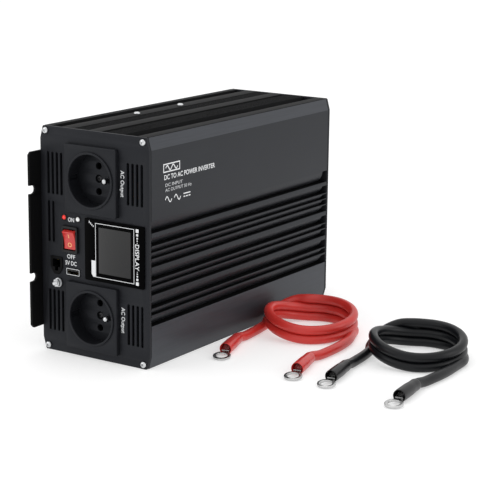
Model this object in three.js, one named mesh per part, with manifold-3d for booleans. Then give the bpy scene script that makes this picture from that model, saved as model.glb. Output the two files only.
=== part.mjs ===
// Power inverter: an extruded case that stands on its narrow side, with two sockets, a rocker
// switch and a display on the front panel, a fan and battery terminals on the rear panel, and
// the two battery leads that come with it.
// Millimetres, +Z up. The front panel faces -Y, the large finned face is +X.
import * as THREE from 'three';
import { mergeVertices } from 'three/addons/utils/BufferGeometryUtils.js';
import Module from 'manifold-3d';

const wasm = await Module();
wasm.setup();

// ---------------------------------------------------------------- driving dimensions
const CASE_W = 100;               // X, between the narrow base side and the finned face
const CASE_H = 171;               // Z
const CASE_L = 250;               // Y, over the two end panels
const SHOULDER_X = 2.6;           // slanted corner of the case, across
const SHOULDER_Z = 9.4;           // slanted corner of the case, up
const PANEL_T = 2.5;              // end panels
const PLATE_T = 2.5;              // mounting plate
const FLANGE = 12;                // how far the mounting plate stands out past each panel
const TERMINAL_REACH = 22;        // how far the terminal knobs stand out past the rear panel
const GAP = 0.3;                  // assembly gap between neighbours
const WALL_X = 10.5;              // finned wall, fins included
const WALL_Z = 8;                 // narrow walls, grooves included
const FIN_DEPTH = 7;
const SOCKET_X = -1;
const SOCKET_Z = [135, 31.7];
const RECESS_R = 19.3;
const SOCKET_R = 21.3;            // body behind the panel
const PIN_SPACING = 19;           // between the two socket contacts
const FAN_SIZE = 80;
const FAN_X = -2.5;
const FAN_Z = 118;
const TERMINAL_X = 20;
const TERMINAL_Z = 36;
const CABLE_R = 3.7;              // battery lead
const COIL_R = 33.4;              // middle of a lead's turns
const COIL_TURNS = 3;             // turns on top of each other
const SLEEVE_L = 30;
const SLEEVE_R = 4.8;
const LUG_HOLE_R = 4.25;          // ring lug for the 8 mm studs
const LUG_R = 6.8;

const LEFT = -CASE_W / 2;
const RIGHT = CASE_W / 2;

// ---------------------------------------------------------------- materials
const paint = (color, roughness, metalness) =>
  new THREE.MeshStandardMaterial({ color, roughness, metalness });
const COATED = paint(0x404144, 0.5, 0.35);
const PANEL = paint(0x2e2f33, 0.55, 0.2);
const BLACK_METAL = paint(0x131416, 0.5, 0.3);
const BLACK_PLASTIC = paint(0x111214, 0.45, 0);
const GLOSS_BLACK = paint(0x08090a, 0.1, 0);
const SCREEN = paint(0x3a3b3c, 0.12, 0);
const STEEL = paint(0xc9cbcd, 0.3, 0.95);
const BRASS = paint(0xc8a050, 0.35, 0.9);
const TINNED = paint(0xd4d6d8, 0.28, 0.95);
const RED_PLASTIC = paint(0xc62a25, 0.25, 0);
const RED_LAMP = paint(0xd01812, 0.2, 0);
const WHITE_LAMP = paint(0xf2f3f1, 0.2, 0);
const BOARD = paint(0x1f5b38, 0.5, 0);
const FERRITE = paint(0x303134, 0.6, 0.1);
const COPPER = paint(0xb06a3a, 0.4, 0.8);
const CAN = paint(0x20242e, 0.4, 0.1);
const RED_CABLE = paint(0xc2302b, 0.4, 0);
const BLACK_CABLE = paint(0x1b1c1f, 0.4, 0);

// ---------------------------------------------------------------- solids
function toSolid(geometry) {
  const bare = geometry.clone();
  bare.deleteAttribute('normal');
  bare.deleteAttribute('uv');
  const merged = mergeVertices(bare, 1e-4);
  return new wasm.Manifold(new wasm.Mesh({
    numProp: 3,
    vertProperties: new Float32Array(merged.attributes.position.array),
    triVerts: new Uint32Array(merged.index.array),
  }));
}

function toGeometry(solid) {
  const mesh = solid.getMesh();
  const geometry = new THREE.BufferGeometry();
  geometry.setAttribute('position', new THREE.BufferAttribute(mesh.vertProperties, 3));
  geometry.setIndex(new THREE.BufferAttribute(mesh.triVerts, 1));
  return geometry;
}

const cut = (base, tools) =>
  toGeometry(tools.reduce((solid, tool) => solid.subtract(toSolid(tool)), toSolid(base)));
const join = (...parts) =>
  toGeometry(parts.slice(1).reduce((solid, part) => solid.add(toSolid(part)), toSolid(parts[0])));

function box(x, y, z) {
  const geometry = new THREE.BoxGeometry(x[1] - x[0], y[1] - y[0], z[1] - z[0]);
  return geometry.translate((x[0] + x[1]) / 2, (y[0] + y[1]) / 2, (z[0] + z[1]) / 2);
}

// a box around a centre in X and Z, from y0 to y1
const block = (x, z, width, height, y0, y1) =>
  box([x - width / 2, x + width / 2], [y0, y1], [z - height / 2, z + height / 2]);

// a cylinder along Y
function rod(x, z, radius, y0, y1, sides = 16) {
  const geometry = new THREE.CylinderGeometry(radius, radius, y1 - y0, sides);
  return geometry.translate(x, (y0 + y1) / 2, z);
}

// a cylinder along X around a point in Y and Z
function crossRod(y, z, radius, x0, x1, sides = 10) {
  const geometry = new THREE.CylinderGeometry(radius, radius, x1 - x0, sides).rotateZ(Math.PI / 2);
  return geometry.translate((x0 + x1) / 2, y, z);
}

// a cylinder along Z around a point in X and Y
function post(x, y, radius, z0, z1, sides = 10) {
  const geometry = new THREE.CylinderGeometry(radius, radius, z1 - z0, sides).rotateX(Math.PI / 2);
  return geometry.translate(x, y, (z0 + z1) / 2);
}

// an outline in X and Z, extruded from y0 to y1
function extrude(shape, y0, y1, curveSegments = 2) {
  const settings = { depth: y1 - y0, bevelEnabled: false, curveSegments };
  return new THREE.ExtrudeGeometry(shape, settings).rotateX(Math.PI / 2).translate(0, y1, 0);
}

// a closed profile of [radius, y] turned about the Y axis
function turned(profile, sides) {
  const points = profile.map(([radius, y]) => new THREE.Vector2(radius, y));
  return new THREE.LatheGeometry(points, sides);
}

const outline = (points) => new THREE.Shape(points.map(([x, z]) => new THREE.Vector2(x, z)));

function roundedRect(x, z, width, height, radius) {
  const [x0, x1, z0, z1] = [x - width / 2, x + width / 2, z - height / 2, z + height / 2];
  const shape = new THREE.Shape();
  shape.moveTo(x0 + radius, z0);
  shape.lineTo(x1 - radius, z0);
  shape.absarc(x1 - radius, z0 + radius, radius, -Math.PI / 2, 0);
  shape.lineTo(x1, z1 - radius);
  shape.absarc(x1 - radius, z1 - radius, radius, 0, Math.PI / 2);
  shape.lineTo(x0 + radius, z1);
  shape.absarc(x0 + radius, z1 - radius, radius, Math.PI / 2, Math.PI);
  shape.lineTo(x0, z0 + radius);
  shape.absarc(x0 + radius, z0 + radius, radius, Math.PI, Math.PI * 1.5);
  return shape;
}

// ---------------------------------------------------------------- scene graph
const group = new THREE.Group();
const inverter = new THREE.Group();
inverter.position.set(PLATE_T / 2, -(CASE_L + TERMINAL_REACH - FLANGE) / 2, 0);
group.add(inverter);

function add(name, geometry, material, place = {}) {
  const mesh = new THREE.Mesh(geometry, material);
  mesh.name = name;
  mesh.position.set(place.x ?? 0, place.y ?? 0, place.z ?? 0);
  mesh.rotation.set(place.turnX ?? 0, 0, place.turnZ ?? 0);
  inverter.add(mesh);
}

// ---------------------------------------------------------------- case
// The fins of the large face from the top down: [height above the ground, flat width].
// Below each flat the surface leans in, ever more steeply, as far as the top of the next fin.
const TEXT_FACE_BOTTOM = 110.9;
const FINS = [
  [101.5, 3.2], [92.0, 0.9], [87.3, 0.9], [82.6, 1.0], [76.4, 3.6], [66.5, 0.9],
  [62.0, 1.0], [55.6, 3.6], [45.6, 0.9], [40.7, 1.6],
];
const LOWER_FACE_TOP = 32.3;
const LEAN = [25, 62];            // degrees from upright at the start and the end of a roll-off
const FIRST_LEAN = [12, 70];      // the same for the long roll-off below the printed face
const ROLL_STEPS = 4;

const grooves = () => {
  const tops = [...FINS.map(([z]) => z), LOWER_FACE_TOP];
  const bottoms = [TEXT_FACE_BOTTOM, ...FINS.map(([z, ridge]) => z - ridge)];
  return tops.map((top, i) => ({ high: bottoms[i], low: top }));
};

function finnedFace() {
  const points = [[RIGHT, CASE_H - SHOULDER_Z]];
  grooves().forEach(({ high, low }, i) => {
    const [start, end] = i === 0 ? FIRST_LEAN : LEAN;
    const power = i === 0 ? 2 : 1;
    const drop = (high - low) / ROLL_STEPS;
    let x = RIGHT;
    points.push([x, high]);
    for (let step = 1; step <= ROLL_STEPS; step += 1) {
      const share = ((step - 0.5) / ROLL_STEPS) ** power;
      x -= drop * Math.tan(((start + (end - start) * share) * Math.PI) / 180);
      points.push([x, high - drop * step]);
    }
    points.push([RIGHT, low]);
  });
  return [...points, [RIGHT, SHOULDER_Z]];
}

// The narrow faces across, from the base side to the finned side: [x, depth below the face].
function narrowFace() {
  const serration = (from, to, count) => {
    const pitch = (to - from) / count;
    return Array.from({ length: count }, (_, i) => [
      [from + pitch * (i + 0.15), 1.3], [from + pitch * (i + 0.6), 0.1],
    ]).flat();
  };
  return [
    [LEFT + SHOULDER_X, 0], [-41, 0], [-40.4, 4.6], [-32.6, 4.6], [-32, 0],
    [-20, 0], ...serration(-20, -8, 6), [-8, 1.4], [-6.8, 1.4], [-6.6, 0],
    [5, 0], [5.2, 1.8], [7, 1.8], ...serration(7.3, 26, 9),
    [26.6, 4.6], [37.1, 4.6], [37.7, 0], [RIGHT - SHOULDER_X, 0],
  ];
}

const LIP_X = LEFT + 3;           // folded-in edges of the case that the mounting plate closes
const LIP_Z = 26;
const SCREW_X = 44.7;
const SCREW_Z = [3.6, CASE_H - 3.6];
const CLAMP_X = -25;
const CLAMP_Y = [85, 142];
const THREAD_R = 1.8;             // clearance bore for a screw's shaft

function caseShell() {
  const top = narrowFace().map(([x, depth]) => [x, CASE_H - depth]);
  const bottom = narrowFace().map(([x, depth]) => [x, depth]).reverse();
  const innerRight = RIGHT - WALL_X;
  const inside = [
    [LEFT, LIP_Z], [LIP_X, LIP_Z], [LIP_X, WALL_Z], [innerRight, WALL_Z],
    [innerRight, CASE_H - WALL_Z], [LIP_X, CASE_H - WALL_Z], [LIP_X, CASE_H - LIP_Z],
    [LEFT, CASE_H - LIP_Z], [LEFT, CASE_H - SHOULDER_Z],
  ];
  const shape = outline([...top, ...finnedFace(), ...bottom, [LEFT, SHOULDER_Z], ...inside]);
  const front = PANEL_T + GAP;
  const rear = CASE_L - PANEL_T - GAP;
  const relief = 7;               // the grooves end in a plain rebate at the rear
  const tools = grooves().map(({ high, low }) =>
    box([RIGHT - FIN_DEPTH, RIGHT + 1], [rear - relief, rear + 1], [low, high]));
  for (const x of [-SCREW_X, SCREW_X]) {
    for (const z of SCREW_Z) {
      tools.push(rod(x, z, THREAD_R, front - 1, front + 13, 8));
      tools.push(rod(x, z, THREAD_R, rear - 13, rear + 1, 8));
    }
  }
  CLAMP_Y.forEach((y) =>
    tools.push(post(CLAMP_X, y, THREAD_R, CASE_H - WALL_Z - 2, CASE_H + 2)));
  return cut(extrude(shape, front, rear), tools);
}
add('case_shell', caseShell(), COATED);

// mounting plate on the base side, with notched flanges past both panels
const BOARD_X = -38;
const BOARD_POSTS = [[30, 32], [30, 139], [192, 32], [192, 139]];
function basePlate() {
  const [low, high] = [18, 152];
  const corner = 3.2;
  const notch = { width: 6.4, depth: 6.2, at: [57, 123.6] };
  const [y0, y1] = [-FLANGE, CASE_L + FLANGE];
  const plate = box([LEFT - PLATE_T, LEFT - GAP], [y0, y1], [low, high]);
  const tools = [];
  for (const y of [y0, y1]) {
    for (const z of notch.at) {
      const half = notch.width / 2;
      const run = [y - notch.depth, y + notch.depth];
      tools.push(box([LEFT - 9, LEFT + 9], run, [z - half, z + half]));
    }
    for (const z of [low, high]) {
      const bevel = new THREE.BoxGeometry(18, corner * 1.5, corner * 1.5).rotateX(Math.PI / 4);
      tools.push(bevel.translate(LEFT, y, z));
    }
  }
  const posts = BOARD_POSTS.map(([y, z]) => crossRod(y, z, 3, LEFT - 1, BOARD_X - GAP));
  return join(cut(plate, tools), ...posts);
}
add('base_plate', basePlate(), BLACK_METAL);

// ---------------------------------------------------------------- end panels
const octagon = () => outline([
  [LEFT + SHOULDER_X, 0], [RIGHT - SHOULDER_X, 0],
  [RIGHT, SHOULDER_Z], [RIGHT, CASE_H - SHOULDER_Z],
  [RIGHT - SHOULDER_X, CASE_H], [LEFT + SHOULDER_X, CASE_H],
  [LEFT, CASE_H - SHOULDER_Z], [LEFT, SHOULDER_Z],
]);

// groups of upright cooling slots: [first x, lower z, upper z, count]
const SLOT_W = 2.1;
const SLOT_PITCH = 4.15;
const SLOT_END = { x: 0.65, z: 0.9 };   // slanted corners that round the slot's ends
const SLOTS = [
  [31.1, 120.3, 151.2, 4], [31.1, 16, 46.9, 4], [-42.8, 120.3, 152, 4],
  [-42.8, 84, 115.2, 2], [-43, 15.8, 47.6, 4],
];
const LED_X = [-28, -15];
const LED_Z = 104.2;
const SWITCH = { x: -22.4, z: 88, width: 15, height: 20, bodyW: 12.8, bodyH: 17.4 };
const USB = { x: -20, z: 63.6 };
const JACK = { x: -35.6, z: 67.2 };
const GROUND = { x: -34, z: 53.8 };
const DISPLAY = { x: 19.2, z: 83.4, width: 54.4, height: 46.4 };
const LCD = { x: 19.4, z: 83.7, width: 30, height: 35 };

// an outline with a narrower lower end, widened by a margin
const shield = (x, z, margin) => outline([
  [x - 1.8 - margin / 2, z - 6 - margin], [x + 1.8 + margin / 2, z - 6 - margin],
  [x + 4.4 + margin, z - 1.6 - margin / 2], [x + 4.4 + margin, z + 5.2 + margin],
  [x - 4.4 - margin, z + 5.2 + margin], [x - 4.4 - margin, z - 1.6 - margin / 2],
]);

const screwHoles = () =>
  [-SCREW_X, SCREW_X].flatMap((x) => SCREW_Z.map((z) => rod(x, z, 1.9, -1, PANEL_T + 1, 10)));

function frontPanel() {
  const [y0, y1] = [-1, PANEL_T + 1];
  const tools = screwHoles();
  for (const [first, low, high, count] of SLOTS) {
    for (let i = 0; i < count; i += 1) {
      const x0 = first + i * SLOT_PITCH - SLOT_W / 2;
      const x1 = x0 + SLOT_W;
      const slot = outline([
        [x0, low + SLOT_END.z], [x0 + SLOT_END.x, low], [x1 - SLOT_END.x, low], [x1, low + SLOT_END.z],
        [x1, high - SLOT_END.z], [x1 - SLOT_END.x, high], [x0 + SLOT_END.x, high], [x0, high - SLOT_END.z],
      ]);
      tools.push(extrude(slot, y0, y1));
    }
  }
  SOCKET_Z.forEach((z) => tools.push(rod(SOCKET_X, z, SOCKET_R + 0.5, y0, y1, 32)));
  LED_X.forEach((x) => tools.push(rod(x, LED_Z, 1.8, y0, y1, 12)));
  tools.push(
    block(SWITCH.x, SWITCH.z, SWITCH.bodyW + 0.6, SWITCH.bodyH + 0.6, y0, y1),
    block(USB.x, USB.z, 13, 5.7, y0, y1),
    extrude(shield(JACK.x, JACK.z, 0.3), y0, y1),
    rod(GROUND.x, GROUND.z, 2, y0, y1, 12),
    block(LCD.x, LCD.z, LCD.width + 1, LCD.height + 1, y0, y1),
  );
  return cut(extrude(octagon(), 0, PANEL_T), tools);
}
add('front_panel', frontPanel(), PANEL);

function rearPanel() {
  const [y0, y1] = [-1, PANEL_T + 1];
  const tools = screwHoles();
  tools.push(rod(FAN_X, FAN_Z, 37.8, y0, y1, 32));
  for (const side of [-1, 1]) {
    tools.push(rod(side * TERMINAL_X, TERMINAL_Z, 4.6, y0, y1));
  }
  return cut(extrude(octagon(), 0, PANEL_T), tools);
}
add('rear_panel', rearPanel(), PANEL, { y: CASE_L - PANEL_T });

// pan-head screw; its head points to -Y and the head's underside is at y = 0
const panScrew = (shaft) => turned(
  [[0, -1.5], [1.5, -1.3], [2.4, -0.4], [2.4, 0], [1.5, 0], [1.5, shaft], [0, shaft]],
  10,
);
let count = 0;
for (const z of SCREW_Z) {
  for (const x of [-SCREW_X, SCREW_X]) {
    count += 1;
    add(`front_screw_${count}`, panScrew(12), STEEL, { x, y: -GAP, z });
    add(`rear_screw_${count}`, panScrew(12), STEEL, { x, y: CASE_L + GAP, z, turnX: Math.PI });
  }
}
CLAMP_Y.forEach((y, i) => {
  const place = { x: CLAMP_X, y, z: CASE_H + GAP, turnX: -Math.PI / 2 };
  add(`clamp_screw_${i + 1}`, panScrew(15), STEEL, place);
});

// ---------------------------------------------------------------- sockets
const SOCKET_PLATE = { width: 47.5, height: 50.5, proud: 3.5 };
const RIM_Y = -4.4;               // front of the ring around the recess
const FLOOR_Y = 7.2;              // bottom of the recess
const HEAD_SEAT_Y = 9.4;          // where the socket's screw head sits
const EARTH_X = 10;               // earth pin beside the middle
function socketBody() {
  const face = roundedRect(0, 0, SOCKET_PLATE.width, SOCKET_PLATE.height, 1.2);
  const plate = extrude(face, -SOCKET_PLATE.proud, -GAP);
  const barrel = rod(0, 0, SOCKET_R, -2, 17, 32);
  const rim = turned([
    [RECESS_R, RIM_Y], [RECESS_R + 1.3, RIM_Y], [RECESS_R + 1.6, -2], [RECESS_R, -2], [RECESS_R, RIM_Y],
  ], 32);
  const recess = rod(0, 0, RECESS_R, -9, FLOOR_Y, 32);
  const keys = [-1, 1].map((side) => block(side * RECESS_R, 0, 4, 5, -2.4, FLOOR_Y - 1));
  const contacts = [-1, 1].map((side) => rod(0, side * PIN_SPACING / 2, 2.6, 0, 20, 12));
  const screwHole = rod(0, 0, THREAD_R + 0.1, 0, 20, 10);
  const headSeat = rod(0, 0, 3, 4, HEAD_SEAT_Y, 12);
  const pinHole = rod(EARTH_X, 0, 2.7, 0, 20, 12);
  const body = join(cut(join(plate, barrel), [recess]), rim);
  return cut(body, [...keys, ...contacts, screwHole, headSeat, pinHole]);
}

const earthPin = () => turned([[0, -0.6], [1.5, -0.2], [2.4, 1.6], [2.4, 20], [0, 20]], 12);

['lower', 'upper'].forEach((name, i) => {
  const place = { x: SOCKET_X, z: SOCKET_Z[1 - i] };
  add(`socket_${name}`, socketBody(), BLACK_PLASTIC, place);
  add(`earth_pin_${name}`, earthPin(), STEEL, { x: SOCKET_X + EARTH_X, z: place.z });
  add(`socket_screw_${name}`, panScrew(12), STEEL, { ...place, y: HEAD_SEAT_Y - GAP });
});

// ---------------------------------------------------------------- switch, lamps and ports
const ROCKER = { width: 10.8, reach: 7.6, pivotY: 0.8, tilt: Math.PI / 15 };
function switchBody() {
  const bezel = extrude(roundedRect(0, 0, SWITCH.width, SWITCH.height, 1.2), -1.8, -GAP);
  const body = block(0, 0, SWITCH.bodyW, SWITCH.bodyH, -1, 16);
  const well = block(0, 0, ROCKER.width + 0.6, 2 * ROCKER.reach + 0.8, -5, 10.5);
  const bearing = crossRod(ROCKER.pivotY, 0, 1, -SWITCH.bodyW / 2 - 0.1, SWITCH.bodyW / 2 + 0.1);
  return cut(join(bezel, body), [well, bearing]);
}
add('switch_body', switchBody(), BLACK_PLASTIC, { x: SWITCH.x, z: SWITCH.z });

// The side view is drawn about the pivot in mid-travel. Off, it leans by the tilt: the lower
// end is pressed in and the upper end stands out.
function rocker() {
  const side = outline([
    [-3.2, 6.9], [-2.2, 0], [-3.2, -6.9], [0.2, -7.4], [4.5, -5], [6, 0], [4.5, 5], [0.2, 7.4],
  ]);
  const body = new THREE.ExtrudeGeometry(side, { depth: ROCKER.width, bevelEnabled: false });
  body.rotateX(Math.PI / 2).rotateZ(Math.PI / 2).translate(-ROCKER.width / 2, 0, 0);
  return join(body, crossRod(0, 0, 0.75, -ROCKER.width / 2 - 0.8, ROCKER.width / 2 + 0.8));
}
const rockerPlace = { x: SWITCH.x, y: ROCKER.pivotY, z: SWITCH.z, turnX: ROCKER.tilt };
add('switch_rocker', rocker(), RED_PLASTIC, rockerPlace);

const lampProfile = [[0, -1.3], [0.8, -1.15], [1.3, -0.7], [1.5, 0], [1.5, 6], [0, 6]];
add('fault_lamp', turned(lampProfile, 12), RED_LAMP, { x: LED_X[0], z: LED_Z });
add('power_lamp', turned(lampProfile, 12), WHITE_LAMP, { x: LED_X[1], z: LED_Z });

function usbPort() {
  const shell = cut(block(0, 0, 12.4, 5, -0.7, 14), [block(0, 0, 11.4, 4, -2, 12.5)]);
  return join(shell, block(0, 0.9, 9.6, 1.4, 0.6, 13));
}
add('usb_port', usbPort(), STEEL, { x: USB.x, z: USB.z });

function remoteJack() {
  const body = join(extrude(shield(0, 0, 0), -0.6, 15), extrude(shield(0, 0, 1.2), -0.9, -GAP));
  return cut(body, [block(0, 1.4, 7.2, 6, -3, 12), block(0, -3, 3, 3.2, -3, 12)]);
}
add('remote_jack', remoteJack(), BLACK_PLASTIC, { x: JACK.x, z: JACK.z });

function groundTerminal() {
  const stud = rod(0, 0, 1.5, -6.2, 8, 12);
  const nut = rod(0, 0, 3.2, -3.6, -1.2, 6);
  const washer = rod(0, 0, 3.5, -1.3, -GAP, 16);
  return join(stud, nut, washer);
}
add('ground_terminal', groundTerminal(), STEEL, { x: GROUND.x, z: GROUND.z });

function displayBezel() {
  const plate = extrude(roundedRect(DISPLAY.x, DISPLAY.z, DISPLAY.width, DISPLAY.height, 1), -1.3, -GAP);
  return cut(plate, [block(LCD.x, LCD.z, LCD.width, LCD.height, -3, 3)]);
}
add('display_bezel', displayBezel(), GLOSS_BLACK);
const screen = block(LCD.x, LCD.z, LCD.width - 2 * GAP, LCD.height - 2 * GAP, -1, 8);
add('display_screen', screen, SCREEN);

// ---------------------------------------------------------------- electronics
const BOARD_T = 1.6;
const PARTS_X = BOARD_X + BOARD_T + GAP;  // where the parts on the board begin
function mainBoard() {
  const board = box([BOARD_X, BOARD_X + BOARD_T], [22, 200], [14, 157]);
  return cut(board, BOARD_POSTS.map(([y, z]) => crossRod(y, z, 1.6, BOARD_X - 2, BOARD_X + 4)));
}
add('main_board', mainBoard(), BOARD);
add('capacitor_1', crossRod(184, 34, 12, PARTS_X, PARTS_X + 42, 20), CAN);
add('capacitor_2', crossRod(184, 64, 12, PARTS_X, PARTS_X + 42, 20), CAN);

// ferrite core with two windows; the winding fills them and stands out above and below
const CORE = { y: 96, z: 46, width: 46, depth: 44, height: 42, yoke: 7, leg: 16, window: 10 };
const around = (middle, width) => [middle - width / 2, middle + width / 2];
function transformerCore() {
  const frame = box([PARTS_X, PARTS_X + CORE.depth], around(CORE.y, CORE.width), around(CORE.z, CORE.height));
  const windowY = (CORE.leg + CORE.window) / 2;
  const windows = [-1, 1].map((side) => box(
    [PARTS_X + CORE.yoke, PARTS_X + CORE.depth - CORE.yoke],
    around(CORE.y + side * windowY, CORE.window),
    [0, CASE_H],
  ));
  return cut(frame, windows);
}
add('transformer_core', transformerCore(), FERRITE);

function transformerWinding() {
  const x = [PARTS_X + CORE.yoke + GAP, PARTS_X + CORE.depth - CORE.yoke - GAP];
  const outer = CORE.leg + 2 * CORE.window - 2 * GAP;
  const bobbin = box(x, around(CORE.y, outer), around(CORE.z, CORE.height + 9));
  const legY = around(CORE.y, CORE.leg + 2 * GAP);
  const leg = box([x[0] - 1, x[1] + 1], legY, around(CORE.z, CORE.height + 2 * GAP));
  return cut(bobbin, [leg]);
}
add('transformer_winding', transformerWinding(), COPPER);

function outputChoke() {
  const [outer, inner, height] = [19, 9, 16];
  const ring = turned([[inner, 0], [outer, 0], [outer, height], [inner, height], [inner, 0]], 24);
  return ring.rotateZ(-Math.PI / 2).translate(PARTS_X, 62, 112);
}
add('output_choke', outputChoke(), COPPER);

// the bar that presses the power transistors against the inside of the narrow wall
function transistorBar() {
  const ceiling = CASE_H - WALL_Z;
  const bar = box(around(CLAMP_X, 14), [58, 172], [ceiling - 9, ceiling - 5]);
  const chips = [66, 100, 114, 128, 158].map((y) =>
    box([CLAMP_X - 5, CLAMP_X + 9], around(y, 9.6), [ceiling - 5.2, ceiling - GAP]));
  const bores = CLAMP_Y.map((y) => post(CLAMP_X, y, THREAD_R, ceiling - 20, ceiling));
  return cut(join(bar, ...chips), bores);
}
add('transistor_bar', transistorBar(), FERRITE);

// ---------------------------------------------------------------- fan
const FAN_T = 25;
const FAN_BORE_R = 38;
const FAN_FRONT = CASE_L - PANEL_T - GAP - FAN_T;
function fanFrame() {
  const shape = roundedRect(0, 0, FAN_SIZE, FAN_SIZE, 4);
  const frame = cut(extrude(shape, 0, FAN_T), [rod(0, 0, FAN_BORE_R, -1, FAN_T + 1, 32)]);
  const motorSeat = rod(0, 0, 15, 0, 3, 16);
  const struts = [1, 3, 5, 7].map((eighth) =>
    box([13, FAN_BORE_R + 1], [0, 3], [-1.6, 1.6]).rotateY(eighth * Math.PI / 4));
  return join(frame, motorSeat, ...struts);
}
add('fan_frame', fanFrame(), BLACK_PLASTIC, { x: FAN_X, y: FAN_FRONT, z: FAN_Z });

// turns about Y in the middle of the frame
function fanRotor() {
  const [count, hubR, hubT, tipR] = [7, 17, 18.4, 36];
  const hub = turned(
    [[0, 0], [hubR - 1, 0], [hubR, 1], [hubR, hubT - 1], [hubR - 1, hubT], [0, hubT]],
    21,
  );
  const blades = Array.from({ length: count }, (_, i) => {
    const blade = new THREE.BoxGeometry(tipR - hubR + 2, 1.6, 19);
    blade.rotateX(Math.PI * 0.22).translate((tipR + hubR - 2) / 2, hubT / 2, 0);
    return blade.rotateY((i * 2 * Math.PI) / count);
  });
  return join(hub, ...blades);
}
add('fan_rotor', fanRotor(), BLACK_PLASTIC, { x: FAN_X, y: FAN_FRONT + 3.6, z: FAN_Z });

function fanGuard() {
  const wire = 0.9;
  const rings = [12, 24, 36].map((radius) => turned([
    [radius - wire, 0], [radius, -wire], [radius + wire, 0], [radius, wire], [radius - wire, 0],
  ], 24));
  const spokes = [1, 3].map((eighth) =>
    box([-43, 43], [-2.1, -0.6], [-0.8, 0.8]).rotateY(eighth * Math.PI / 4));
  return join(rings[0], ...spokes, ...rings.slice(1));
}
add('fan_guard', fanGuard(), STEEL, { x: FAN_X, y: CASE_L + 2.5, z: FAN_Z });

// ---------------------------------------------------------------- battery terminals
const STUD_R = 4;
const STUD_HOLE_R = STUD_R + 0.5;
const KNOB_BORE_R = 5.6;          // wide enough to run clear of the stud
const KNOB_T = 10;
const KNOB_Y = CASE_L + TERMINAL_REACH - KNOB_T;
const CONTACT_Y = KNOB_Y - 2.1;   // contact face of the studs, under the washers
function terminalBase() {
  const pad = extrude(roundedRect(0, TERMINAL_Z, 76, 36, 3), CASE_L + GAP, CASE_L + 7.3);
  const divider = box([-1.5, 1.5], [CASE_L + 7, CASE_L + 18], around(TERMINAL_Z, 32));
  const holes = [-1, 1].map((side) =>
    rod(side * TERMINAL_X, TERMINAL_Z, STUD_HOLE_R, CASE_L - 1, CASE_L + 9));
  return cut(join(pad, divider), holes);
}
add('terminal_base', terminalBase(), BLACK_PLASTIC);

const studProfile = [
  [0, -22], [STUD_R, -22], [STUD_R, -2], [8, -2], [8, 0],
  [STUD_R, 0], [STUD_R, 9], [3.2, 9.8], [0, 9.8],
];
const washerProfile = [[STUD_HOLE_R, 0], [8.2, 0], [8.2, 1.5], [STUD_HOLE_R, 1.5], [STUD_HOLE_R, 0]];
function terminalKnob() {
  const flutes = 12;
  const points = Array.from({ length: flutes * 2 }, (_, i) => {
    const angle = (i / (flutes * 2)) * 2 * Math.PI;
    const radius = i % 2 === 0 ? 9.4 : 10.4;
    return [radius * Math.cos(angle), radius * Math.sin(angle)];
  });
  const body = join(extrude(outline(points), 0, 8.4), rod(0, 0, 8.4, 8, KNOB_T));
  return cut(body, [rod(0, 0, KNOB_BORE_R, -1, 8.6, 16)]);
}
[['positive', 1, RED_PLASTIC], ['negative', -1, BLACK_PLASTIC]].forEach(([name, side, material]) => {
  const place = { x: side * TERMINAL_X, z: TERMINAL_Z };
  add(`${name}_stud`, turned(studProfile, 16), BRASS, { ...place, y: CONTACT_Y });
  add(`${name}_washer`, turned(washerProfile, 20), STEEL, { ...place, y: CONTACT_Y + GAP });
  add(`${name}_knob`, terminalKnob(), material, { ...place, y: KNOB_Y });
});

// ---------------------------------------------------------------- battery leads
// Each lead lies on the ground beside the finned face: two and a half turns on top of each
// other, with both ends running forward to a sleeve and a ring lug. A tail's points run from
// the sleeve to the coil.
const LEADS = [
  {
    name: 'red_lead',
    material: RED_CABLE,
    coil: [93.6, 153.9],
    inner: {
      ring: [75.9, 55.3],
      sleeve: [65.5, 91],
      tail: [[64.2, 104], [64, 114], [63.8, 122.5]],
    },
    outer: {
      ring: [145.3, 44.6],
      sleeve: [136.4, 82.2],
      tail: [[137.2, 95], [138, 107], [138, 118], [137.1, 129], [136.6, 138]],
    },
  },
  {
    name: 'black_lead',
    material: BLACK_CABLE,
    coil: [195.9, 139.6],
    inner: {
      ring: [174, 43],
      sleeve: [167.9, 81],
      tail: [[166.8, 91], [166.5, 99], [166.3, 107.5]],
    },
    outer: {
      ring: [234.2, 32.2],
      sleeve: [230.4, 70.5],
      tail: [[231, 83], [232.4, 95], [233.2, 107], [235, 116]],
    },
  },
];
const GROUND_Z = CABLE_R + 0.1;   // middle of a cable that lies on the ground
const SLEEVE_Z = SLEEVE_R + 0.1;
const LUG_REACH = 8.5;            // from the end of the sleeve to the middle of the ring
const LUG_DROOP = (8 * Math.PI) / 180;   // the palm runs down towards the ground
const BARREL_L = 18;
const COIL_SPREAD = 3.7;          // how far the turns wander from one circle
const SPREAD_ANGLE = (105 * Math.PI) / 180;
const COIL_H = COIL_TURNS * CABLE_R * 2;

// a tube along points; a point without a height lies on the ground
function cable(points) {
  const path = new THREE.CatmullRomCurve3(
    points.map(([x, y, z]) => new THREE.Vector3(x, y, z ?? GROUND_Z)),
  );
  const sides = 10;
  const section = outline(Array.from({ length: sides }, (_, i) => {
    const angle = (i / sides) * 2 * Math.PI;
    return [CABLE_R * Math.cos(angle), CABLE_R * Math.sin(angle)];
  }));
  const steps = Math.ceil(path.getLength() / (CABLE_R * 1.6));
  return new THREE.ExtrudeGeometry(section, { steps, bevelEnabled: false, extrudePath: path });
}

// the outer shape of the turns
function coil() {
  const inner = COIL_R - CABLE_R - COIL_SPREAD;
  const outer = COIL_R + CABLE_R + COIL_SPREAD;
  const soft = 2.2;
  const profile = [
    [inner, soft], [inner + soft, 0], [outer - soft, 0], [outer, soft],
    [outer, COIL_H - soft], [outer - soft, COIL_H], [inner + soft, COIL_H], [inner, COIL_H - soft],
    [inner, soft],
  ];
  return turned(profile, 28).rotateX(Math.PI / 2);
}

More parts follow.
